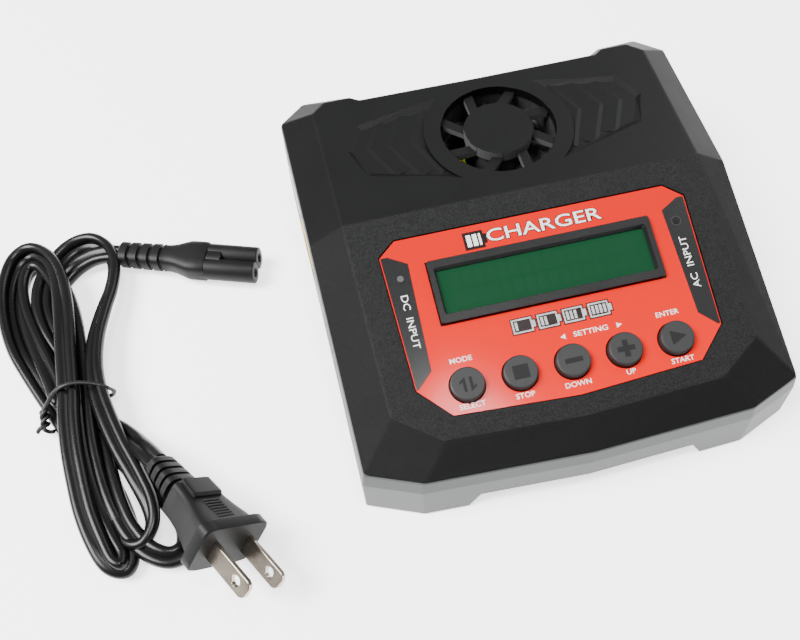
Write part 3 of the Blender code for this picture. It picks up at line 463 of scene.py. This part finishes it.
bright = finish("blade_metal", (0.34, 0.29, 0.235), (0.46, 0.405, 0.34), rough=(0.16, 0.30),
                grain=2600.0, bump=0.06, mottle=260.0, metal=1.0)
BLADE_THICKNESS = 1.5
blades = []
for label, side in (("left", -6.35), ("right", 6.35)):
    bm = bmesh.new()
    outline = [(-2.0, -3.17), (15.2, -3.17), (16.3, -2.6), (17.0, -1.5), (17.0, 1.5), (16.3, 2.6),
               (15.2, 3.17), (-2.0, 3.17)]
    hole = [(12.0 + u, v) for u, v in around(1.6, 32)]
    edges = []
    for loop in (outline, hole):
        verts = [bm.verts.new((x, y, -BLADE_THICKNESS / 2)) for x, y in loop]
        edges += [bm.edges.new((verts[i], verts[(i + 1) % len(verts)])) for i in range(len(verts))]
    bmesh.ops.triangle_fill(bm, use_beauty=True, edges=edges)
    sheet = bmesh.ops.extrude_face_region(bm, geom=bm.faces[:])
    moved = [v for v in sheet["geom"] if isinstance(v, bmesh.types.BMVert)]
    bmesh.ops.translate(bm, verts=moved, vec=(0, 0, BLADE_THICKNESS))
    place = plug @ Matrix.Translation((0, side, 0)) @ Matrix.Rotation(math.pi / 2, 4, "X")
    bmesh.ops.transform(bm, matrix=place, verts=bm.verts)
    blades.append(piece("blade_" + label, bm, bright, "case", smooth=30,
                        stands_for=["plug_blade_" + label]))
    eased(blades[-1], 0.00022)

# ---- lid --------------------------------------------------------------------
# The upper shell, injection-moulded in black ABS and screwed down from below. Its deck is
# smooth and matt, its panel has a coarse grain in front of the crease, its steep skirt facets
# have painted shade, and the walls inside the fan's guard have a painted highlight.
DECK_FRONT = 11.9
HEIGHT = 36.0
SLOPE = 0.2088
TILT = math.atan(SLOPE)
FAN_Y = 38.5
GUARD_RADIUS = 18.1
STEEP = 0.93
UPRIGHT = 0.5


def wear(node_name, mat):
    """Give a frame node its finish."""
    for material_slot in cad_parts[node_name].material_slots:
        material_slot.material = mat


def fed(mat, kind, **values):
    """A shader node; each value goes to the input of that name, as a link or a constant."""
    node = mat.node_tree.nodes.new(kind)
    if kind == "ShaderNodeMix":
        node.data_type = "RGBA"
    for name, value in values.items():
        if isinstance(value, bpy.types.NodeSocket):
            mat.node_tree.links.new(value, node.inputs[name.replace("_", " ")])
        else:
            node.inputs[name.replace("_", " ")].default_value = value
    return node


def joined(mat, kind, operation, *values):
    """A math node over values in order, each a link or a constant."""
    node = mat.node_tree.nodes.new(kind)
    node.operation = operation
    for socket, value in zip(node.inputs, values):
        if isinstance(value, bpy.types.NodeSocket):
            mat.node_tree.links.new(value, socket)
        else:
            socket.default_value = value
    return node.outputs["Value"]


def ramp(mat, value, low, high):
    """A share that goes from 0 to 1 as a value goes from low to high."""
    return fed(mat, "ShaderNodeMapRange", Value=value, From_Min=low,
               From_Max=high).outputs["Result"]


def mixed(mat, share, first, second):
    """The first tone, or the second where the share is 1."""
    return fed(mat, "ShaderNodeMix", Factor=share, A=first, B=second).outputs["Result"]


def own_point(mat):
    """A surface's own coordinates in metres: the vector, then its X, Y and Z."""
    point = fed(mat, "ShaderNodeTexCoord").outputs["Object"]
    return point, *fed(mat, "ShaderNodeSeparateXYZ", Vector=point).outputs


def present(mat, socket):
    """What feeds an input of a finish's shader."""
    return mat.node_tree.nodes["Principled BSDF"].inputs[socket].links[0].from_socket


def rewired(mat, **outputs):
    """Feed a finish's shader from new outputs."""
    for name, output in outputs.items():
        socket = mat.node_tree.nodes["Principled BSDF"].inputs[name.replace("_", " ")]
        mat.node_tree.links.new(output, socket)


deck_finish = {"colour": (0.0048, 0.0049, 0.0050), "rough": (0.40, 0.50), "grain": 2600.0,
               "bump": 0.10, "specular": 0.12}
lid_black = finish("lid_abs", **deck_finish)
point, across, rearwards, _ = own_point(lid_black)
on_front = ramp(lid_black, rearwards, 0.0122, 0.0116)
cells = fed(lid_black, "ShaderNodeTexVoronoi", Scale=3200.0, Vector=point)
speck = ramp(lid_black, cells.outputs["Color"], 0.05, 0.9)
grainy = mixed(lid_black, speck, (0.0018, 0.0019, 0.0020, 1), (0.0125, 0.0127, 0.0128, 1))
tone = mixed(lid_black, on_front, present(lid_black, "Base Color"), grainy)
dimples = joined(lid_black, "ShaderNodeMath", "MULTIPLY", cells.outputs["Distance"], on_front)
pebble = fed(lid_black, "ShaderNodeBump", Strength=0.35, Distance=0.0003, Height=dimples,
             Normal=present(lid_black, "Normal"))
duller = joined(lid_black, "ShaderNodeMath", "MULTIPLY_ADD", on_front, 0.14,
                present(lid_black, "Roughness"))
flat = fed(lid_black, "ShaderNodeCombineXYZ", X=across, Y=rearwards).outputs["Vector"]
from_hub = joined(lid_black, "ShaderNodeVectorMath", "DISTANCE", flat, (0, FAN_Y * MM, 0))
in_guard = joined(lid_black, "ShaderNodeMath", "LESS_THAN", from_hub, GUARD_RADIUS * MM)
normal = fed(lid_black, "ShaderNodeNewGeometry").outputs["True Normal"]
facing_up = fed(lid_black, "ShaderNodeSeparateXYZ", Vector=normal).outputs["Z"]
# painted shade: the steep facets, mostly the skirt's, get a darker tone than the deck
painted_shade_steep = joined(lid_black, "ShaderNodeMath", "LESS_THAN", facing_up, STEEP)
is_wall = joined(lid_black, "ShaderNodeMath", "LESS_THAN", facing_up, UPRIGHT)
# painted highlight: the walls of the hub and spokes inside the fan's guard get a much lighter tone
painted_highlight_walls = joined(lid_black, "ShaderNodeMath", "MULTIPLY", in_guard, is_wall)
tone = mixed(lid_black, painted_shade_steep, tone, (0.0022, 0.0022, 0.0023, 1))
tone = mixed(lid_black, painted_highlight_walls, tone, (0.060, 0.060, 0.061, 1))
rewired(lid_black, Base_Color=tone, Roughness=duller, Normal=pebble.outputs["Normal"])
wear("top_shell", lid_black)

# ---- chevrons in the deck recess --------------------------------------------
# Low louvres moulded with the lid, three on each side of the fan, whose points aim outwards.
# Each rises quickly on its outer side and falls slowly towards the fan.
deck_black = finish("deck_ridges", **deck_finish)
RECESS_FLOOR = 35.1
CHEVRON_RISE = 0.26
CHEVRON_SUNK = -0.02
# the rear end, the point and the front end in mm, and how far the slow side reaches
CHEVRONS = [((36.2, 51.7), (41.2, 41.2), (35.3, 27.9), 5.2),
            ((28.9, 53.4), (34.6, 40.8), (27.8, 25.5), 5.4),
            ((21.2, 54.0), (27.0, 40.4), (20.9, 25.6), 1.6)]
bm = bmesh.new()
for mirror in (-1, 1):
    for rear, point, front, fall in CHEVRONS:
        line = [Vector((x * mirror, y)) for x, y in (rear, point, front)]
        d0 = (line[1] - line[0]).normalized()
        d1 = (line[2] - line[1]).normalized()
        n0 = Vector((-d0.y, d0.x)) * mirror
        n1 = Vector((-d1.y, d1.x)) * mirror
        middle = (n0 + n1).normalized()
        offsets = [n0, middle / middle.dot(n0), n1]
        section = [(1.6, CHEVRON_SUNK), (0.1, CHEVRON_RISE), (-fall, CHEVRON_SUNK)]
        closed(bm, [[bm.verts.new((*(spot + offset * u), RECESS_FLOOR + v)) for u, v in section]
                    for spot, offset in zip(line, offsets)])
piece("recess_chevrons", bm, deck_black, "case")

# ---- fan --------------------------------------------------------------------
# A 40 mm axial fan under the lid's guard: a square frame, and a seven-bladed rotor in black
# PBT that spins on the frame's middle. The hub cap covers the motor.
fan_black = finish("fan_pbt", (0.020, 0.020, 0.021), rough=(0.34, 0.44), grain=1800.0, bump=0.05,
                   specular=0.3)
HUB_LOW = 25.7
HUB_TOP = 32.5
BLADES = 7
BLADE_ROOT = 9.9
BLADE_TIP = 17.7


def turned(bm, profile, count, middle=(0.0, 0.0)):
    """A closed solid of revolution from (radius, height), which starts and ends on the axis."""
    skin(bm, [[bm.verts.new((middle[0] + u, middle[1] + v, z))
               for u, v in (around(r, count) if r else [(0, 0)])] for r, z in profile])


bm = bmesh.new()
turned(bm, [(0, HUB_LOW), (10.2, HUB_LOW), (10.4, HUB_LOW + 0.3), (10.4, HUB_TOP - 1.2),
            (9.9, HUB_TOP - 0.3), (9.0, HUB_TOP), (0, HUB_TOP)], 64, (0, FAN_Y))
piece("fan_hub", bm, fan_black, "fan", smooth=40, stands_for=["fan_rotor"])
blade = bmesh.new()
grid = []
for i in range(9):
    share = i / 8
    radius = BLADE_ROOT + (BLADE_TIP - BLADE_ROOT) * share
    row = []
    for k in range(7):
        along = k / 6 - 0.5
        sweep = math.radians(-14 * share ** 1.4) + along * math.radians(46 - 8 * share)
        height = 29.0 + along * (6.0 - 1.2 * share) - 0.48 * (1 - 4 * along * along)
        row.append(blade.verts.new((radius * math.cos(sweep), radius * math.sin(sweep), height)))
    grid.append(row)
for i in range(8):
    for k in range(6):
        blade.faces.new((grid[i][k], grid[i + 1][k], grid[i + 1][k + 1], grid[i][k + 1]))
bmesh.ops.solidify(blade, geom=blade.faces[:], thickness=0.8)
REST_TURN = 0.58
places = [((0, FAN_Y, 0), (0, 0, math.tau * k / BLADES + REST_TURN)) for k in range(BLADES)]
repeated("fan_blades", blade, places, fan_black, "fan", smooth=40)
wear("fan_frame", fan_black)

# ---- overlay label ----------------------------------------------------------
# A printed polycarbonate sheet glued into the panel's recess: gloss red, with a black bar
# down each side. The print is under the gloss, so it is modelled as a film on the sheet.
LABEL_TOP = -0.15
PRINT = 0.05


def on_panel(x, y, above):
    """A point of the sloping panel, given where it lies seen from above and its height on it."""
    return Vector((x, y - above * math.sin(TILT),
                   HEIGHT - SLOPE * (DECK_FRONT - y) + above * math.cos(TILT)))


def film(bm, outline, low, high):
    """A thin sheet on the panel, with its sides."""
    closed(bm, [[bm.verts.new(on_panel(x, y, above)) for x, y in outline]
                for above in (low, high)])


label_red = finish("label_red", (0.46, 0.0030, 0.0), (0.49, 0.0036, 0.0), rough=(0.11, 0.15),
                   grain=400.0, bump=0.015, mottle=30.0, specular=0.25)
_, _, rearwards, _ = own_point(label_red)
# the red is made brighter towards the front edge of the sheet
brighter_to_front = ramp(label_red, rearwards, -0.004, -0.050)
rewired(label_red, Base_Color=mixed(label_red, brighter_to_front, present(label_red, "Base Color"),
                                    (0.56, 0.0050, 0.0, 1)))
wear("overlay_label", label_red)

bar_black = finish("label_bars", (0.0085, 0.0088, 0.0090), (0.0115, 0.0117, 0.0120),
                   rough=(0.20, 0.26), grain=400.0, bump=0.02, mottle=1800.0, specular=0.3)
BAR = [(47.7, -0.9), (45.6, -0.9), (40.0, -4.1), (41.1, -37.7), (45.9, -42.3), (46.7, -42.4)]
bm = bmesh.new()
for mirror in (-1, 1):
    film(bm, [(x * mirror, y) for x, y in BAR], LABEL_TOP, LABEL_TOP + PRINT)
piece("label_bars", bm, bar_black, "case")

print_white = finish("label_print", (0.60, 0.60, 0.59), rough=(0.25, 0.35), grain=600.0, bump=0.02,
                     specular=0.3)
print_dark = finish("label_shadow_print", (0.0080, 0.0030, 0.0030), rough=(0.22, 0.3), grain=600.0,
                    bump=0.02, specular=0.3)
print_silver = finish("label_silver_print", (0.16, 0.16, 0.16), (0.52, 0.52, 0.52),
                      rough=(0.22, 0.34), grain=600.0, bump=0.02, mottle=420.0, specular=0.3)


def word(name, text, size, x, y, mat, above=LABEL_TOP + PRINT, stretch=1.0, weight=0.0,
         quarter_turns=0):
    """A plain word printed on the panel, centred on a point."""
    letters = bpy.data.curves.new(name, "FONT")
    letters.body = text
    letters.size = size
    letters.align_x = "CENTER"
    letters.align_y = "CENTER"
    letters.offset = weight
    letters.extrude = 0.02
    letters.resolution_u = 3
    text_obj = bpy.data.objects.new(name, letters)
    bpy.context.scene.collection.objects.link(text_obj)
    depsgraph = bpy.context.evaluated_depsgraph_get()
    mesh = bpy.data.meshes.new_from_object(text_obj.evaluated_get(depsgraph), depsgraph=depsgraph)
    bpy.data.objects.remove(text_obj)
    turn = Matrix.Rotation(math.pi / 2 * quarter_turns, 4, "Z")
    lie = Matrix.Translation(on_panel(x, y, above)) @ Matrix.Rotation(TILT, 4, "X") @ turn
    mesh.transform(Matrix.Scale(MM, 4) @ lie @ Matrix.Diagonal((stretch, 1, 1, 1)))
    mesh.name = name
    settle(name, mesh, mat, "case")


CAPTION = 2.25
CAPTION_ABOVE = LABEL_TOP + 0.02
for name, text, x, y in (("word_mode", "MODE", -32.0, -36.3), ("word_stop", "STOP", -16.1, -50.8),
                         ("word_down", "DOWN", 0.0, -50.9), ("word_up", "UP", 16.2, -50.8),
                         ("word_enter", "ENTER", 31.8, -36.0), ("word_start", "START", 32.3, -50.7),
                         ("word_select", "SELECT", -31.9, -50.3)):
    word(name, text, CAPTION, x, y, print_white, CAPTION_ABOVE, stretch=1.08, weight=0.02)
word("word_setting", "SETTING", 2.3, 8.0, -36.2, print_white, CAPTION_ABOVE, stretch=1.2,
     weight=0.02)
word("word_charger_shadow", "CHARGER", 5.6, 3.1, -0.9, print_dark, LABEL_TOP + 0.01,
     stretch=1.42, weight=0.24)
word("word_charger", "CHARGER", 5.6, 3.1, -0.9, print_white, LABEL_TOP + 0.04, stretch=1.42,
     weight=0.05)
word("word_dc", "DC  INPUT", 3.1, -43.6, -21.8, print_white, stretch=1.15, quarter_turns=-1)
word("word_ac", "AC  INPUT", 3.1, 43.6, -21.8, print_white, stretch=1.15, quarter_turns=1)

# ---- pictograms on the label ------------------------------------------------
# Plain signs in the same print: a battery by the heading, a row of four batteries with rising
# charge below the display, and an arrowhead at each end of the caption over the keys.


def sign(name, shapes, mat, above):
    """Flat printed shapes, each given by its outline."""
    bm = bmesh.new()
    for outline in shapes:
        film(bm, outline, above - 0.03, above + 0.02)
    piece(name, bm, mat, "case")


def slab(x0, x1, y0, y1):
    """A rectangle's outline."""
    return [(x0, y0), (x1, y0), (x1, y1), (x0, y1)]


def cell_outline(x0, y0, wide, tall, grow):
    """A battery seen from the side, its pole on the right."""
    x1 = x0 + wide
    y1 = y0 + tall
    pole = tall * 0.24
    middle = (y0 + y1) / 2
    tip = x1 + 0.9 + grow
    return [(x0 - grow, y0 - grow), (x1 + grow, y0 - grow), (x1 + grow, middle - pole - grow),
            (tip, middle - pole - grow), (tip, middle + pole + grow),
            (x1 + grow, middle + pole + grow), (x1 + grow, y1 + grow), (x0 - grow, y1 + grow)]


sign("sign_battery_shadow", [cell_outline(-21.6, -3.6, 5.6, 5.0, 0.3)], print_dark,
     LABEL_TOP + 0.03)
sign("sign_battery", [slab(-21.0, -19.6, -3.0, 0.8), slab(-19.1, -17.7, -3.0, 0.8),
                      slab(-17.2, -16.5, -3.0, 0.8)], print_white, LABEL_TOP + 0.06)
starts = [-14.6 + 7.9 * k for k in range(4)]
sign("sign_cells_shadow", [cell_outline(x, -32.4, 6.2, 4.4, 0.35) for x in starts], print_dark,
     LABEL_TOP + 0.03)
sign("sign_cells", [cell_outline(x, -32.4, 6.2, 4.4, 0.0) for x in starts], print_silver,
     LABEL_TOP + 0.06)
sign("sign_cell_insides", [slab(x + 0.5, x + 5.7, -31.9, -28.5) for x in starts], print_dark,
     LABEL_TOP + 0.08)
sign("sign_cell_charge", [slab(x + 0.9 + 1.2 * bar, x + 1.7 + 1.2 * bar, -31.5, -28.9)
                          for k, x in enumerate(starts) for bar in range(k + 1)], print_silver,
     LABEL_TOP + 0.10)
sign("sign_arrows", [[(-1.5, -36.2), (0.1, -35.4), (0.1, -37.0)],
                     [(17.6, -36.2), (16.0, -37.0), (16.0, -35.4)]], print_white,
     LABEL_TOP + 0.04)

# ---- status lights ----------------------------------------------------------
# Two clear acrylic light pipes stand in holes at the top of the side bars, over lamps on the
# board, each in a fine rim. The left one is frosted, and the right one is dark.
clear = finish("light_pipe", (0.040, 0.040, 0.040), (0.055, 0.055, 0.055), rough=(0.3, 0.4),
               grain=900.0, bump=0.05)
dark_lens = finish("dark_light_pipe", (0.0070, 0.0072, 0.0072), rough=(0.15, 0.2), grain=900.0,
                   specular=0.3)
wear("light_pipe_left", clear)
wear("light_pipe_right", dark_lens)
rim_grey = finish("light_rim", (0.022, 0.022, 0.022), rough=(0.25, 0.3), grain=900.0, specular=0.3)
LIGHT_Y = -8.3
for label, x, mat in (("left", -43.3, bar_black), ("right", 43.3, rim_grey)):
    bm = bmesh.new()
    rings = [[bm.verts.new(on_panel(x + u, LIGHT_Y + v, above)) for u, v in around(radius, 32)]
             for radius, above in ((1.34, -0.1), (1.62, -0.1), (1.62, 0.0), (1.34, 0.0))]
    skin(bm, [*rings, rings[0]])
    piece("light_rim_" + label, bm, mat, "case", smooth=30)

# ---- display ----------------------------------------------------------------
# A two-row character display behind a bevelled black frame. The glass is unlit dark green,
# and its dot cells can hardly be told from it.
frame_black = finish("display_frame", (0.0055, 0.0055, 0.0056), (0.0080, 0.0080, 0.0081),
                     rough=(0.30, 0.38), grain=1500.0, bump=0.08, specular=0.25)
wear("lcd_bezel", frame_black)
glass_green = finish("display_glass", (0.0035, 0.0325, 0.0130), (0.0040, 0.0360, 0.0145),
                     rough=(0.12, 0.18), grain=300.0, bump=0.01, mottle=25.0, specular=0.12)
wear("lcd_glass", glass_green)
cell_green = finish("display_cells", (0.0035, 0.0328, 0.0131), (0.0038, 0.0346, 0.0139),
                    rough=(0.12, 0.18), grain=300.0, bump=0.01, specular=0.2)
cell = bmesh.new()
bmesh.ops.create_cube(cell, size=1.0, matrix=Matrix.Diagonal((3.0, 5.0, 0.04, 1)))
places = [(on_panel(-27.4 + 3.65 * column, -12.1 - 5.8 * row, -0.45), (TILT, 0, 0))
          for row in range(2) for column in range(16)]
repeated("display_cells", cell, places, cell_green, "case")
steel = finish("plated_steel", (0.50, 0.50, 0.50), (0.62, 0.62, 0.62), rough=(0.22, 0.35),
               grain=1800.0, bump=0.05, metal=1.0)
wear("lcd_module", steel)

# ---- keys -------------------------------------------------------------------
# Five round silicone-coated keys in holes of the panel, each on its own switch. The sign is
# a darker inlay that is all but level with the key's top, and it rides on its key.
key_grey = finish("key_rubber", (0.0095, 0.0098, 0.0100), (0.0150, 0.0153, 0.0155),
                  rough=(0.44, 0.54), grain=1700.0, bump=0.10, specular=0.3)
sign_black = finish("key_sign", (0.0030, 0.0030, 0.0030), rough=(0.45, 0.6), grain=1700.0,
                    bump=0.05, specular=0.2)
KEY_TOP = 1.7
KEY_Y = -44.2
KEY_PITCH = 16.0
KEY_SIGNS = {
    "channel": [[(-0.6, 2.0), (-2.5, 0.7), (-2.5, 0.0), (-1.5, 0.5), (-1.5, -2.4), (-0.6, -2.4)],
                [(0.6, -2.6), (2.5, -1.3), (2.5, -0.6), (1.5, -1.1), (1.5, 1.8), (0.6, 1.8)]],
    "stop": [slab(-2.4, 2.4, -2.2, 2.0)],
    "minus": [slab(-2.7, 2.7, -0.9, 0.6)],
    "plus": [[(-0.85, -2.7), (0.85, -2.7), (0.85, -0.95), (2.7, -0.95), (2.7, 0.65),
              (0.85, 0.65), (0.85, 2.5), (-0.85, 2.5), (-0.85, 0.65), (-2.7, 0.65),
              (-2.7, -0.95), (-0.85, -0.95)]],
    "start": [[(-2.1, -2.3), (2.7, 0.0), (-2.1, 2.2)]],
}
for index, (key, outlines) in enumerate(KEY_SIGNS.items()):
    x = KEY_PITCH * (index - 2)
    wear("button_" + key, key_grey)
    wear("switch_" + key, steel)
    bm = bmesh.new()
    for outline in outlines:
        film(bm, [(x + u, KEY_Y + v) for u, v in outline], KEY_TOP - 0.05, KEY_TOP + 0.012)
    piece("key_sign_" + key, bm, sign_black, "key_" + key)
board_green = finish("board_green", (0.010, 0.09, 0.035), rough=(0.35, 0.5), grain=900.0,
                     bump=0.05)
wear("button_board", board_green)

# ---- base -------------------------------------------------------------------
# The lower shell in mid-grey ABS: a band with painted shade above a crease, a splayed foot band
# below it, arches between the corner feet, and ventilation slots in both sides.
base_grey = finish("base_abs", (0.098, 0.103, 0.101), (0.110, 0.115, 0.113), rough=(0.42, 0.52),
                   grain=1900.0, bump=0.10, specular=0.3)
*_, upwards = own_point(base_grey)
# painted shade: the band above the crease gets a darker grey than the foot band below it
painted_shade_band = ramp(base_grey, upwards, 0.0110, 0.0116)
rewired(base_grey, Base_Color=mixed(base_grey, painted_shade_band, present(base_grey, "Base Color"),
                                    (0.066, 0.070, 0.069, 1)))
wear("bottom_shell", base_grey)
rubber = finish("foot_rubber", (0.018, 0.018, 0.018), rough=(0.7, 0.85), grain=1200.0, bump=0.2)
for i in range(4):
    wear("rubber_foot_%d" % (i + 1), rubber)

# ---- case screws ------------------------------------------------------------
# Four cross-head screws, M2.6, in deep wells under the base. They pass through the base
# into bosses of the lid.
head = bmesh.new()
turned(head, [(0, 2.0), (1.2, 1.62), (2.4, 1.62), (2.75, 1.9), (2.8, 2.6), (2.8, 3.9), (0, 3.9)],
       32)
screw_places = [((x, y, 0), (0, 0, 0.4 * i))
                for i, (x, y) in enumerate(((48, -52), (-48, -52), (53, 52), (-53, 52)))]
repeated("screw_heads", head, screw_places, steel, "case", smooth=35)
# painted shade: the cross recess in each head is a dark slab, not a hollow in the steel
cross = bmesh.new()
for turn in (0, math.pi / 2):
    bmesh.ops.create_cube(cross, size=1.0, matrix=Matrix.Translation((0, 0, 1.72))
                          @ Matrix.Rotation(turn, 4, "Z") @ Matrix.Diagonal((2.6, 0.5, 0.24, 1)))
repeated("screw_recesses", cross, screw_places, slot_dark_and_recess_shade, "case")
for i in range(4):
    wear("case_screw_%d" % (i + 1), steel)

# ---- sockets ----------------------------------------------------------------
# The mains inlet and the direct current inlet are in the rear wall. Each side has a battery
# output and a seven-pin balance port, all clipped into the walls, with metal contacts inside.
socket_black = finish("inlet_black", (0.014, 0.014, 0.015), rough=(0.3, 0.4), grain=1500.0)
yellow = finish("socket_yellow", (0.80, 0.46, 0.02), (0.86, 0.52, 0.03), rough=(0.35, 0.45),
                grain=1500.0)
white = finish("socket_white", (0.72, 0.70, 0.64), (0.78, 0.76, 0.70), rough=(0.4, 0.5),
               grain=1500.0)
wear("ac_inlet", socket_black)
wear("dc_input", yellow)
gold = finish("contact_metal", (0.80, 0.60, 0.28), (0.86, 0.68, 0.36), rough=(0.18, 0.3),
              grain=2000.0, metal=1.0)
SOCKET_Z = 18.6
for label in ("a", "b"):
    wear("output_socket_" + label, yellow)
    wear("balance_port_" + label, white)


def contact(radius, length):
    """A round pin with a rounded tip that points along X."""
    bm = bmesh.new()
    turned(bm, [(0, 0), (radius, 0), (radius, length - radius * 0.7),
                (radius * 0.72, length - radius * 0.2), (0, length)], 20)
    bmesh.ops.transform(bm, matrix=Matrix.Rotation(math.pi / 2, 4, "Y"), verts=bm.verts)
    return bm


def contact_row(name, radius, length, centre, facing, offsets, depth):
    """Contacts on a socket's floor, over the frame's plain ones."""
    turn = Matrix.Rotation(facing, 4, "Z")
    places = [(Vector(centre) + turn @ Vector((-depth, offset, 0)), (0, 0, facing))
              for offset in offsets]
    repeated(name, contact(radius, length), places, gold, "case", smooth=40)


contact_row("mains_contacts", 1.24, 9.06, (-20.0, 69.4, SOCKET_Z), math.pi / 2, (-4.3, 4.3), 15.0)
contact_row("input_contacts", 1.64, 8.06, (20.0, 69.4, SOCKET_Z), math.pi / 2, (-3.6, 3.6), 13.0)
for label, facing in (("a", math.pi), ("b", 0.0)):
    wall = 68.1 * math.cos(facing)
    contact_row("output_contacts_" + label, 1.64, 8.06, (wall, 22.0, SOCKET_Z), facing,
                (-3.6, 3.6), 13.0)
    contact_row("balance_contacts_" + label, 0.44, 2.6, (wall, 46.0, SOCKET_Z), facing,
                [2.5 * (i - 3) for i in range(7)], 7.8)

# ---- electronics ------------------------------------------------------------
# The main board on four posts, with the switching transformer, the capacitors, two black heat
# sinks and a taped input choke, whose yellow edge shows through the fan's guard.
wear("main_board", board_green)
anodised = finish("black_anodising", (0.010, 0.010, 0.011), rough=(0.35, 0.5), grain=1500.0)
for name in ("heat_sink_a", "heat_sink_b", *("board_standoff_%d" % (i + 1) for i in range(4))):
    wear(name, anodised)
wear("transformer_core", finish("ferrite", (0.03, 0.03, 0.03), rough=(0.6, 0.75)))
tape = finish("winding_tape", (0.62, 0.60, 0.03), (0.72, 0.72, 0.05), rough=(0.25, 0.35),
              grain=900.0)
wear("transformer_winding", tape)
bm = bmesh.new()
bmesh.ops.create_cube(bm, size=1.0, matrix=Matrix.Translation((-12.4, 46.8, 18.3))
                      @ Matrix.Diagonal((9.6, 9.6, 9.8, 1)))
bmesh.ops.bevel(bm, geom=bm.edges[:], offset=1.6, segments=4, affect="EDGES", profile=0.5)
piece("input_choke", bm, tape, "case", smooth=50)
sleeve = finish("capacitor_sleeve", (0.01, 0.012, 0.05), rough=(0.3, 0.4), grain=900.0)
for name in ("bulk_capacitor", "output_capacitor_a", "output_capacitor_b"):
    wear(name, sleeve)

# ---- table and light --------------------------------------------------------
# A self-lit white table, as on a light stand. A large soft box on the left is the key, a small
# one overhead puts the sheen on the label, and a weak one fills in from the right.
table = bpy.data.meshes.new("table")
REACH = 3.0
table.from_pydata([(x, y, 0) for x, y in slab(-REACH, REACH, -REACH, REACH)], [], [(0, 1, 2, 3)])
table_white = finish("table_white", (0.90, 0.90, 0.90), (0.92, 0.92, 0.92), rough=(0.6, 0.7),
                     grain=200.0, bump=0.0, mottle=4.0)
table_glow = table_white.node_tree.nodes["Principled BSDF"].inputs
table_glow["Emission Color"].default_value = (1, 1, 1, 1)
table_glow["Emission Strength"].default_value = 1.8
table.materials.append(table_white)
floor = bpy.data.objects.new("table", table)
bpy.context.scene.collection.objects.link(floor)


def softbox(name, place, aim, size, power):
    """A rectangular light that faces a point."""
    light = bpy.data.lights.new(name, "AREA")
    light.shape = "RECTANGLE"
    light.size, light.size_y = size
    light.energy = power
    obj = bpy.data.objects.new(name, light)
    obj.location = place
    obj.rotation_euler = (Vector(place) - Vector(aim)).to_track_quat("Z", "Y").to_euler()
    bpy.context.scene.collection.objects.link(obj)


softbox("key_light", (-0.78, 0.05, 0.92), (0, 0, 0), (0.7, 0.7), 44)
softbox("sheen_light", (0.19, -0.09, 1.20), (0.1, 0, 0), (0.30, 0.40), 10)
softbox("fill_light", (0.9, 0.5, 0.8), (0, 0, 0), (0.8, 0.6), 6)
world = bpy.data.worlds.new("studio")
world.use_nodes = True
world.node_tree.nodes["Background"].inputs["Color"].default_value = (1, 1, 1, 1)
world.node_tree.nodes["Background"].inputs["Strength"].default_value = 0.5
bpy.context.scene.world = world
